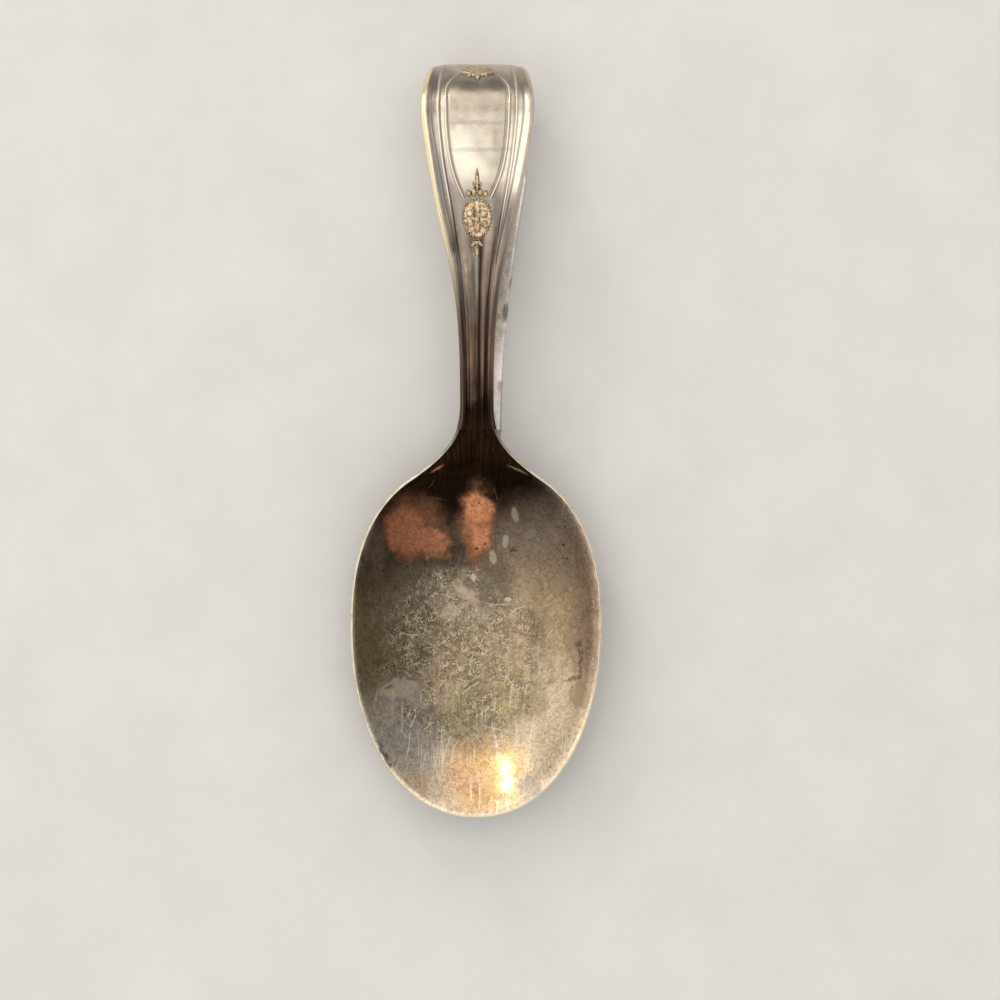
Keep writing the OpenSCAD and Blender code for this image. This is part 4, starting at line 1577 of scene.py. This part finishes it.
BOWL_SCRATCHES = (
    Scratch((-8.5, -38.4), 2.3, -8.0, -0.04, 0.9),
    Scratch((-8.0, -35.6), 1.1, -25.0, 0.0, 0.9),
    Scratch((-8.6, -34.6), 0.8, -25.0, 0.0, 0.8),
    Scratch((-6.2, -36.3), 0.9, -50.0, 0.0, 0.7),
    Scratch((-9.3, -37.0), 1.0, 35.0, 0.0, 0.6),
    Scratch((-6.9, -41.0), 3.6, 2.0, 0.01, 0.6),
    Scratch((-5.1, -41.2), 3.2, 12.0, 0.02, 0.6),
    Scratch((-3.8, -39.2), 2.2, -16.0, 0.04, 0.7),
    Scratch((-2.9, -39.4), 2.0, -18.0, 0.04, 0.6),
    Scratch((-5.2, -43.8), 2.2, 16.0, 0.02, 0.6),
    Scratch((-3.4, -44.4), 2.2, 18.0, 0.02, 0.6),
    Scratch((6.9, -38.4), 4.2, -6.0, 0.01, 0.6),
    Scratch((8.3, -41.6), 3.2, 6.0, 0.02, 0.5),
    Scratch((5.2, -21.3), 1.5, -62.0, 0.25, 0.5),
    Scratch((3.0, -20.8), 2.2, 88.0, 0.03, 0.35),
    Scratch((-8.5, -24.6), 1.6, 86.0, 0.02, 0.7),
    Scratch((2.3, -36.6), 1.8, 80.0, 0.10, 0.35),
    Scratch((4.8, -37.2), 1.4, 70.0, 0.12, 0.35),
    Scratch((1.7, -34.2), 1.5, 92.0, -0.30, 0.4),
    Scratch((-0.8, -31.4), 1.8, -55.0, 0.06, 0.5),
    Scratch((-5.7, -5.5), 0.8, -40.0, 0.0, 0.35),
    Scratch((-5.0, -7.2), 1.9, 80.0, -0.04, 0.3),
    Scratch((2.4, -6.6), 1.0, 15.0, 0.12, 0.5),
    Scratch((8.0, -27.6), 3.0, 4.0, 0.01, 0.4),
    Scratch((9.6, -24.0), 2.4, -30.0, 0.02, 0.3),
)


# Masks only, whose tints aren't shown: where the crust lies, and where the tip is rubbed smooth
BOWL_CRUST = Patch("crusted", (-1.2, -27.6), (10.6, 11.0), 1.0, 0.2)
BOWL_SMOOTH = Patch("sun", (3.6, -41.0), (3.6, 3.2), 0.21, 0.25)


@dataclass(frozen=True)
class BowlFinish(Finish):
    """Old silver plate of the bowl: brown tarnish with a painted dark reflection at the neck, crusted in the
    dish, pale at the tip under a painted highlight, and pale on the rim.

    A fade gives the places along the spoon where something starts to show and where it is full.
    """

    rough: Pair = (0.31, 0.42)
    # Where the neck's tarnish and painted dark reflection start and where they are full
    neck_tarnish_and_shade_fade: Pair = (-17.0, -6.5)
    drawn_fade: Pair = (-7.0, 0.0)
    hair_fade: Pair = (-27.0, -38.0)
    line_fade: Pair = (-7.0, -14.0)
    slant: float = 0.42
    silver: tuple = (0.25, 0.19, 0.115, 1.0)
    cool: tuple = (0.20, 0.17, 0.125, 1.0)
    warm: tuple = (0.60, 0.44, 0.28, 1.0)
    mauve: tuple = (0.50, 0.37, 0.28, 1.0)
    umber: tuple = (0.18, 0.15, 0.095, 1.0)
    slate: tuple = (0.50, 0.485, 0.43, 1.0)
    pale: tuple = (0.90, 0.74, 0.55, 1.0)
    olive: tuple = (0.30, 0.28, 0.13, 1.0)
    ochre: tuple = (0.46, 0.35, 0.14, 1.0)
    dusk: tuple = (0.40, 0.31, 0.235, 1.0)
    rust: tuple = (0.24, 0.115, 0.065, 1.0)
    copper: tuple = (0.50, 0.215, 0.115, 1.0)
    blush: tuple = (0.70, 0.31, 0.155, 1.0)
    gold: tuple = (0.76, 0.48, 0.225, 1.0)
    # sun: a warm painted highlight, the glow on the worn tip
    sun: tuple = (0.88, 0.70, 0.34, 1.0)
    rose: tuple = (0.82, 0.54, 0.40, 1.0)
    ember: tuple = (0.62, 0.29, 0.12, 1.0)
    haze: tuple = (0.50, 0.475, 0.43, 1.0)
    spot: tuple = (0.62, 0.52, 0.39, 1.0)
    tide: tuple = (0.47, 0.355, 0.245, 1.0)
    # neck: brown tarnish made near-black by a painted dark reflection
    neck: tuple = (0.011, 0.006, 0.003, 1.0)
    drawn: tuple = (0.025, 0.013, 0.007, 1.0)
    crusted: tuple = (0.84, 0.70, 0.47, 1.0)
    under: tuple = (0.115, 0.092, 0.064, 1.0)
    rim: tuple = (0.84, 0.77, 0.59, 1.0)
    scraped: tuple = (0.98, 0.93, 0.80, 1.0)
    pit: tuple = (0.045, 0.030, 0.022, 1.0)
    crazing: tuple = (0.42, 0.34, 0.26, 1.0)

    def build(self, effects: Effects) -> Material:
        """Draws the material.

        Args:
            effects: The shared effects.

        Returns:
            The material.
        """
        pen = Coat(self, effects)
        place = pen.place
        soft = pen.stirred(0.45, 1.6)
        crisp = pen.stirred(2.2, 0.22)
        x, y, _ = pen.parts(soft)
        slanted = pen.minus(y, pen.times(x, self.slant))

        # Tarnish clouds and blooms, some of them painted light, and the near-black neck: brown tarnish with a
        # painted dark reflection
        clouds = pen.mask(effects.cloud, place, Scale=0.3, Level=0.5, Softness=0.12)
        plain = pen.blend(clouds, self.silver, self.cool)
        colour = pen.lay(soft, plain, BOWL_CLOUDS_AND_SHADING)
        drawn = pen.noise(pen.turned(place, scale=(2.6, 0.16, 0.0)), 1.0, 3.0)
        streaks = pen.times(pen.step(drawn, 0.45, 0.65), pen.step(y, *self.drawn_fade))
        dark = pen.blend(streaks, self.neck, self.drawn)
        colour = pen.blend(pen.step(slanted, *self.neck_tarnish_and_shade_fade), colour, dark)
        colour = pen.lay(soft, colour, BOWL_BLOOMS_AND_GLOW)
        crazed = pen.step(pen.noise(place, 1.3, 5.0, 0.72, 1.8), 0.38, 0.6, 0.6, 0.0)
        colour = pen.blend(crazed, colour, self.crazing, "MULTIPLY")

        # Dried crust on its stained ground
        crust = pen.use(effects.crust, place, Cover=0.56)
        region = pen.patch_mask(pen.stirred(0.3, 3.4), BOWL_CRUST)
        colour = pen.blend(pen.times(region, crust.outputs["Ground"], 0.62), colour, self.under)
        crusty = pen.times(region, crust.outputs["Crust"])
        beige = pen.step(pen.noise(soft, 0.7, 3.0), 0.53, 0.57, 0.0, 0.16)
        colour = pen.blend(pen.times(region, beige), colour, self.spot)
        colour = pen.blend(pen.times(crusty, 0.72), colour, self.crusted)

        # Water spots, pits and scratches
        colour = pen.lay(pen.stirred(0.9, 0.9), colour, BOWL_BLOTCHES)
        colour = pen.lay(crisp, colour, BOWL_MARKS)
        pits = pen.mask(effects.pits, place, Density=0.55, Size=0.1, Share=0.25)
        colour = pen.blend(pen.times(pits, 0.6), colour, self.pit)
        hair = pen.mask(effects.hairlines, place, Fineness=3.0, Length=6.0, Amount=0.58)
        cross = pen.mask(effects.hairlines, pen.turned(place, 57.0), Fineness=3.0, Length=4.0, Amount=0.45)
        low = pen.step(y, *self.hair_fade, 0.12, 1.0)
        hairs = pen.most(pen.times(hair, low), pen.times(cross, 0.22))
        scored = pen.score(crisp, BOWL_SCRATCHES)
        lines = pen.most(pen.times(hairs, 0.6), pen.times(scored, 0.95))
        lines = pen.times(lines, pen.step(slanted, *self.line_fade, 0.12, 1.0))
        colour = pen.blend(lines, colour, self.scraped)

        # The plain back, and the worn rim
        dull = pen.blend(pen.times(hair, 0.3), plain, self.warm)
        colour = pen.blend(pen.step(pen.painted("face"), 0.45, 0.1), colour, dull)
        uneven = pen.step(pen.noise(place, 0.8), 0.3, 0.6, 0.72, 1.0)
        colour = pen.blend(pen.times(pen.painted("edge"), uneven), colour, self.rim)

        metal, rough = pen.grain(1.6, 0.25)
        rough = pen.plus(rough, pen.times(crusty, 0.22))
        rough = pen.minus(rough, pen.patch_mask(soft, BOWL_SMOOTH))
        height = pen.plus(metal, pen.times(crusty, 0.35))
        return pen.done(colour, rough, pen.minus(height, pen.times(pen.plus(lines, pits), 0.3)))


# Marks on the handle, partly stains and partly painted light: dark patches along the top, where the panel
# turns over, are painted dark reflection; two thin dark lines over the creases are painted shade; bright
# patches are painted highlights; dim patches by the medallion are painted dark reflection
HANDLE_MARKS_AND_SHADING = (
    Patch("smoke_and_shade", (0.4, 44.6), (4.6, 1.5), 0.6, 0.4),
    Patch("smoke_and_shade", (-1.1, 44.0), (1.3, 0.7), 0.6, 0.5),
    Patch("smoke_and_shade", (2.4, 44.1), (1.4, 0.9), 0.7, 0.5),
    Patch("smoke_and_shade", (-5.5, 42.8), (0.75, 3.4), 0.85, 0.4),
    Patch("lilac", (-5.1, 36.0), (0.8, 7.0), 0.75, 0.4, 9.0),
    Patch("lilac", (5.9, 42.5), (0.9, 2.6), 0.5, 0.5, -3.0),
    Patch("bright", (5.1, 35.8), (1.3, 6.5), 0.95, 0.5, -9.0),
    Patch("bright", (-2.4, 35.4), (1.8, 3.0), 0.6, 0.6),
    Patch("bright", (-0.4, 33.0), (1.6, 2.6), 0.5, 0.6),
    Patch("smoke_and_shade", (0.0, 39.2), (4.2, 0.3), 0.35, 0.6),
    Patch("smoke_and_shade", (0.2, 35.9), (4.2, 0.25), 0.3, 0.6),
    Patch("lilac", (-3.9, 28.5), (1.9, 7.5), 0.9, 0.5, 12.0),
    Patch("lilac", (3.0, 26.5), (1.1, 4.5), 0.75, 0.5, -10.0),
    Patch("lilac", (0.0, 27.6), (2.3, 3.4), 0.6, 0.5),
    Patch("dim", (0.2, 27.9), (4.4, 4.0), 0.5, 0.5),
    Patch("dim", (-1.7, 24.8), (1.3, 3.2), 0.8, 0.5, -8.0),
    Patch("dim", (4.5, 27.8), (0.7, 3.2), 0.6, 0.5, -10.0),
    Patch("smoke_and_shade", (-4.5, 45.2), (1.8, 1.6), 0.5, 0.5),
    Patch("smoke_and_shade", (5.3, 44.7), (1.2, 1.9), 0.4, 0.5),
    Patch("tan", (0.3, 46.9), (4.0, 0.7), 0.6, 0.5),
    Patch("bright", (-4.3, 38.6), (0.9, 3.2), 0.5, 0.5, 4.0),
    Patch("smoke_and_shade", (2.7, 37.4), (0.9, 4.0), 0.3, 0.5),
    Patch("dim", (2.2, 28.9), (0.7, 2.4), 0.6, 0.5),
    Patch("dim", (1.0, 21.8), (0.55, 2.4), 0.6, 0.5),
    Patch("grey", (-3.5, 25.4), (0.8, 2.6), 0.5, 0.5),
)
STRAP_MARKS = (
    Patch("spot", (3.6, 16.5), (0.35, 1.3), 0.75, 0.5, -8.0),
    Patch("spot", (4.3, 20.5), (0.3, 0.9), 0.6, 0.5, -10.0),
    Patch("spot", (2.9, 7.0), (0.3, 0.8), 0.5, 0.5),
)


@dataclass(frozen=True)
class HandleFinish(Finish):
    """Old silver plate of the handle: cream on the panel under painted highlights and shade, brown down the
    stem, bright inside the loop.

    A fade gives the places along the spoon where something starts to show and where it is full.
    """

    ash_fade: Pair = (29.5, 21.0)
    walnut_fade: Pair = (20.0, 11.0)
    foot_fade: Pair = (10.5, 4.0)
    rubbed_fade: Pair = (31.0, 22.0)
    groove_fade: Pair = (31.0, 23.0)
    shine_fade: Pair = (14.0, 29.0)
    tail_fade: Pair = (11.0, 1.0)
    # Where painted shade darkens the side walls, over dark tarnish
    wall_shade_fade: Pair = (27.0, 20.0)
    wander: float = 6.0
    cream: tuple = (0.60, 0.53, 0.43, 1.0)
    plain: tuple = (0.77, 0.73, 0.69, 1.0)
    mauve: tuple = (0.34, 0.305, 0.31, 1.0)
    grey: tuple = (0.40, 0.36, 0.31, 1.0)
    # bright: rubbed silver, and the panel's painted highlights
    bright: tuple = (0.90, 0.83, 0.69, 1.0)
    # smoke: painted shade and painted dark reflection on the panel
    smoke_and_shade: tuple = (0.19, 0.17, 0.15, 1.0)
    lilac: tuple = (0.24, 0.21, 0.20, 1.0)
    # dim: painted dark reflection beside the medallion
    dim: tuple = (0.105, 0.092, 0.085, 1.0)
    ash: tuple = (0.115, 0.088, 0.070, 1.0)
    walnut: tuple = (0.105, 0.070, 0.050, 1.0)
    brown: tuple = (0.012, 0.0065, 0.0035, 1.0)
    rubbed: tuple = (0.36, 0.235, 0.165, 1.0)
    # edge: worn edge with a painted golden highlight on the left side
    edge: tuple = (0.93, 0.80, 0.51, 1.0)
    blush: tuple = (0.74, 0.61, 0.49, 1.0)
    groove: tuple = (0.40, 0.28, 0.20, 1.0)
    tan: tuple = (0.56, 0.40, 0.31, 1.0)
    spot: tuple = (0.10, 0.075, 0.06, 1.0)

    def build(self, effects: Effects) -> Material:
        """Draws the material.

        Args:
            effects: The shared effects.

        Returns:
            The material.
        """
        pen = Coat(self, effects)
        place = pen.place
        x, y, z = pen.parts(place)
        soft = pen.stirred(0.8, 0.5)

        # The panel's front, with painted highlights and painted dark reflections
        clouds = pen.mask(effects.cloud, pen.turned(place, scale=(1.0, 1.0, 0.4)), Scale=0.55, Level=0.52,
                          Softness=0.16)
        colour = pen.blend(pen.times(clouds, 0.7), self.cream, self.grey)
        colour = pen.lay(soft, colour, HANDLE_MARKS_AND_SHADING)

        # The stem, browner and browner towards the neck, with a ragged limit
        lane = pen.painted("lane")
        drawn = pen.packed(pen.times(lane, 3.2), pen.times(pen.painted("run"), 0.09))
        streaks = pen.step(pen.noise(drawn, 1.0), 0.36, 0.64)
        level = pen.plus(y, pen.times(pen.minus(pen.noise(place, 0.3), 0.5), self.wander))
        walnut = pen.blend(pen.times(streaks, 0.6), self.walnut, self.rubbed)
        ashen = pen.blend(pen.times(streaks, 0.5), self.ash, self.grey)
        aged = pen.blend(pen.step(level, *self.walnut_fade), ashen, walnut)
        colour = pen.blend(pen.step(level, *self.ash_fade), colour, aged)

        # Rubbed ridges and dark grooves, with painted shade and painted highlights on the stem
        kept = pen.times(pen.step(level, 31.0, 25.0, 0.85, 0.5), pen.step(y, 46.2, 44.0, 0.2, 1.0))
        bright = pen.blend(pen.step(level, *self.rubbed_fade), self.bright, self.rubbed)
        colour = pen.blend(pen.times(pen.painted("high"), kept), colour, bright)
        dark = pen.blend(pen.step(level, *self.groove_fade), self.groove, self.brown)
        sunk = pen.times(pen.painted("sunk"), pen.step(level, 31.0, 16.0, 0.8, 0.95))
        colour = pen.blend(sunk, colour, dark)
        colour = pen.blend(pen.times(pen.step(level, *self.foot_fade), 0.985), colour, self.brown)

        # Worn edges with a painted highlight: golden on the left, where the light falls, and paler on the
        # right
        left = pen.step(x, 0.6, -0.6)
        gleam = pen.blend(left, self.blush, self.edge)
        band = pen.most(pen.painted("edge"), pen.step(lane, -0.885, -0.915))
        shine = pen.times(band, pen.step(y, *self.shine_fade, 0.07, 1.0), pen.step(left, 0.0, 1.0, 0.6, 0.95))
        colour = pen.blend(shine, colour, gleam)

        # The strap, the inside of the bend, and the side walls: dark tarnish deepened with painted shade
        inner = pen.blend(pen.times(clouds, 0.5), self.plain, self.grey)
        inner = pen.blend(pen.step(y, *self.tail_fade, 0.0, 0.9), inner, self.mauve)
        inner = pen.lay(soft, inner, STRAP_MARKS)
        pits = pen.mask(effects.pits, place, Density=0.7, Size=0.22, Share=0.25)
        inner = pen.blend(pen.times(pits, 0.5), inner, self.spot)
        turning = pen.times(pen.step(z, 12.5, 5.0), pen.step(y, 24.0, 32.0))
        face = pen.painted("face")
        shaded_walls = pen.times(pen.rest(pen.step(face, 0.5, 1.0)), pen.step(y, *self.wall_shade_fade), 0.9)
        colour = pen.blend(shaded_walls, colour, self.brown)
        back = pen.most(pen.step(z, 7.9, 7.2), turning, pen.step(face, 0.3, 0.0))
        colour = pen.blend(back, colour, inner)

        hair = pen.mask(effects.hairlines, place, Fineness=3.6, Length=4.0, Amount=0.5)
        colour = pen.blend(pen.times(hair, pen.step(y, 2.0, 24.0, 0.02, 0.2)), colour, self.bright)
        metal, rough = pen.grain(1.3, 0.3)
        return pen.done(colour, rough, pen.minus(metal, pen.times(pen.plus(hair, pits), 0.2)))


@dataclass(frozen=True)
class OrnamentFinish(Finish):
    """Golden-brown relief: plate worn off the high places and tarnish left in the low ones."""

    rough: Pair = (0.25, 0.38)
    bump_d: float = 0.03
    bend_fade: Pair = (42.0, 45.0)
    gold: tuple = (0.50, 0.375, 0.225, 1.0)
    worn: tuple = (0.84, 0.72, 0.54, 1.0)
    dark: tuple = (0.16, 0.105, 0.062, 1.0)
    faded: tuple = (0.62, 0.50, 0.385, 1.0)

    def build(self, effects: Effects) -> Material:
        """Draws the material.

        Args:
            effects: The shared effects.

        Returns:
            The material.
        """
        pen = Coat(self, effects)
        patches = pen.mask(effects.cloud, pen.place, Scale=1.6, Level=0.54, Softness=0.12)
        colour = pen.blend(patches, self.gold, self.dark)
        elsewhere = pen.turned(pen.place, shift=(7.0, 3.0, 1.0))
        rubbed = pen.mask(effects.cloud, elsewhere, Scale=2.2, Level=0.56, Softness=0.08)
        colour = pen.blend(pen.times(rubbed, 0.7), colour, self.worn)
        y = pen.parts(pen.place)[1]
        colour = pen.blend(pen.step(y, *self.bend_fade, 0.0, 0.7), colour, self.faded)
        metal, rough = pen.grain(0.5, 1.0)
        return pen.done(colour, rough, metal)


# Studio

@dataclass(frozen=True)
class Lamp:
    """A soft lamp that faces the spoon: place and height in metres, power in watts, width over height."""

    name: str
    at: Triple
    size: float
    power: float
    colour: Triple
    wide: float = 1.0


LAMPS = (
    Lamp("overhead", (-0.10, 0.0, 1.10), 1.2, 4.6, (1.0, 0.97, 0.92)),
    Lamp("key", (-0.14, 0.56, 0.45), 0.42, 1.15, (1.0, 0.92, 0.80), 2.4),
    Lamp("side_fill", (-0.70, 0.05, 0.30), 0.5, 0.5, (1.0, 0.95, 0.88)),
    Lamp("front_fill", (0.10, -0.70, 0.35), 0.6, 0.7, (1.0, 0.95, 0.90)),
    Lamp("near_bulb", (-0.27, 0.54, 0.475), 0.036, 0.19, (1.0, 0.90, 0.72), 2.4),
    Lamp("far_bulb", (-0.281, 0.59, 0.385), 0.036, 0.19, (1.0, 0.90, 0.72), 2.4),
)


@dataclass
class Studio:
    """Pale floor, soft lamps, quiet world and the camera straight above."""

    camera_height: float = 400.0
    camera_roll_deg: float = 0.19
    sight: Pair = (2.96, -7.38)
    view_width: float = 126.16
    reference_z: float = 8.0
    sensor_w: float = 36.0
    near_clip: float = 10.0
    floor_half: float = 1500.0
    floor_drop: float = 0.05
    floor_rough: float = 0.9
    floor_dark: tuple = (0.74, 0.73, 0.71, 1.0)
    floor_light: tuple = (0.78, 0.77, 0.75, 1.0)
    world_light: tuple = (0.52, 0.51, 0.50, 1.0)
    world_seen: tuple = (0.76, 0.75, 0.73, 1.0)

    def stand(self, name: str, data: bpy.types.ID, at: Triple) -> bpy.types.Object:
        """Stands something in the scene, at a place in metres."""
        made = bpy.data.objects.new(name, data)
        made.location = at
        bpy.context.scene.collection.objects.link(made)
        return made

    def floor(self) -> None:
        """Lays the pale floor just under the spoon."""
        mesh = bmesh.new()
        bmesh.ops.create_grid(mesh, x_segments=2, y_segments=2, size=self.floor_half * MM)
        data = bpy.data.meshes.new("floor")
        mesh.to_mesh(data)
        mesh.free()
        material = bpy.data.materials.new("pale_floor")
        material.use_nodes = True
        pen = Graph(material.node_tree)
        shader = material.node_tree.nodes["Principled BSDF"]
        grain = pen.step(pen.noise(pen.object_place(), 0.08), 0.3, 0.7)
        pen.feed(shader.inputs["Base Color"], pen.blend(grain, self.floor_dark, self.floor_light))
        shader.inputs["Roughness"].default_value = self.floor_rough
        data.materials.append(material)
        self.stand("floor", data, (0.0, 0.0, -self.floor_drop * MM))

    def hang(self, lamp: Lamp) -> None:
        """Hangs a lamp so that it faces the spoon."""
        data = bpy.data.lights.new(lamp.name, "AREA")
        data.shape = "RECTANGLE"
        data.size = lamp.size * lamp.wide
        data.size_y = lamp.size
        data.energy = lamp.power
        data.color = lamp.colour
        made = self.stand(lamp.name, data, lamp.at)
        made.rotation_euler = (-Vector(lamp.at)).to_track_quat("-Z", "Y").to_euler()

    def world(self) -> None:
        """Sets a quiet, even world, which the camera sees a little paler."""
        world = bpy.data.worlds.new("studio")
        world.use_nodes = True
        pen = Graph(world.node_tree)
        quiet = world.node_tree.nodes["Background"]
        quiet.inputs["Color"].default_value = self.world_light
        pale = pen.node("Background", {"Color": self.world_seen})
        seen = pen.node("LightPath").outputs["Is Camera Ray"]
        mixed = pen.node("MixShader", {0: seen, 1: quiet.outputs[0], 2: pale.outputs[0]})
        pen.feed(world.node_tree.nodes["World Output"].inputs["Surface"], mixed.outputs[0])
        bpy.context.scene.world = world

    def camera(self) -> None:
        """Sets the camera straight above, framed as the photograph is."""
        data = bpy.data.cameras.new("camera")
        data.sensor_width = self.sensor_w
        data.lens = self.sensor_w * (self.camera_height - self.reference_z) / self.view_width
        data.clip_start = self.near_clip * MM
        camera = self.stand("camera", data, (self.sight[0] * MM, self.sight[1] * MM, self.camera_height * MM))
        camera.rotation_euler = (0.0, 0.0, math.radians(self.camera_roll_deg))
        bpy.context.scene.camera = camera

    def build(self) -> None:
        """Sets up the whole studio."""
        self.floor()
        for lamp in LAMPS:
            self.hang(lamp)
        self.world()
        self.camera()
        bpy.context.scene.view_settings.view_transform = "Standard"


def main() -> None:
    """Builds the spoon over its frame, in order, and sets it in the studio."""
    logging.basicConfig(level=logging.INFO, format="%(message)s")
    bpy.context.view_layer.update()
    low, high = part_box("bowl")
    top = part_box("loop_bend")[1]
    bowl_sizes = BowlSizes(half_w=high.x / MM, tip_y=low.y / MM, seam_y=high.y / MM, seam_z=high.z / MM)
    handle_sizes = HandleSizes(seam_y=high.y / MM, seam_z=high.z / MM, top_y=top.y / MM)
    effects = Effects()
    bowl_silver = BowlFinish("bowl_silver").build(effects)
    handle_silver = HandleFinish("handle_silver").build(effects)
    golden = OrnamentFinish("golden_relief").build(effects)
    bowl = Bowl(bowl_sizes)
    bowl.build(bowl_silver)
    HeelDrop(bowl).build(handle_silver)
    handle = HandleBlank(handle_sizes)
    for stretch in Stretch:
        handle.build(stretch, handle_silver)
    ornament = Ornament(handle)
    ornament.build_medallion(golden)
    ornament.build_spray(golden)
    ornament.build_pendant(golden)
    ornament.build_palmette(golden)
    Studio().build()


if __name__ == "__main__":
    main()
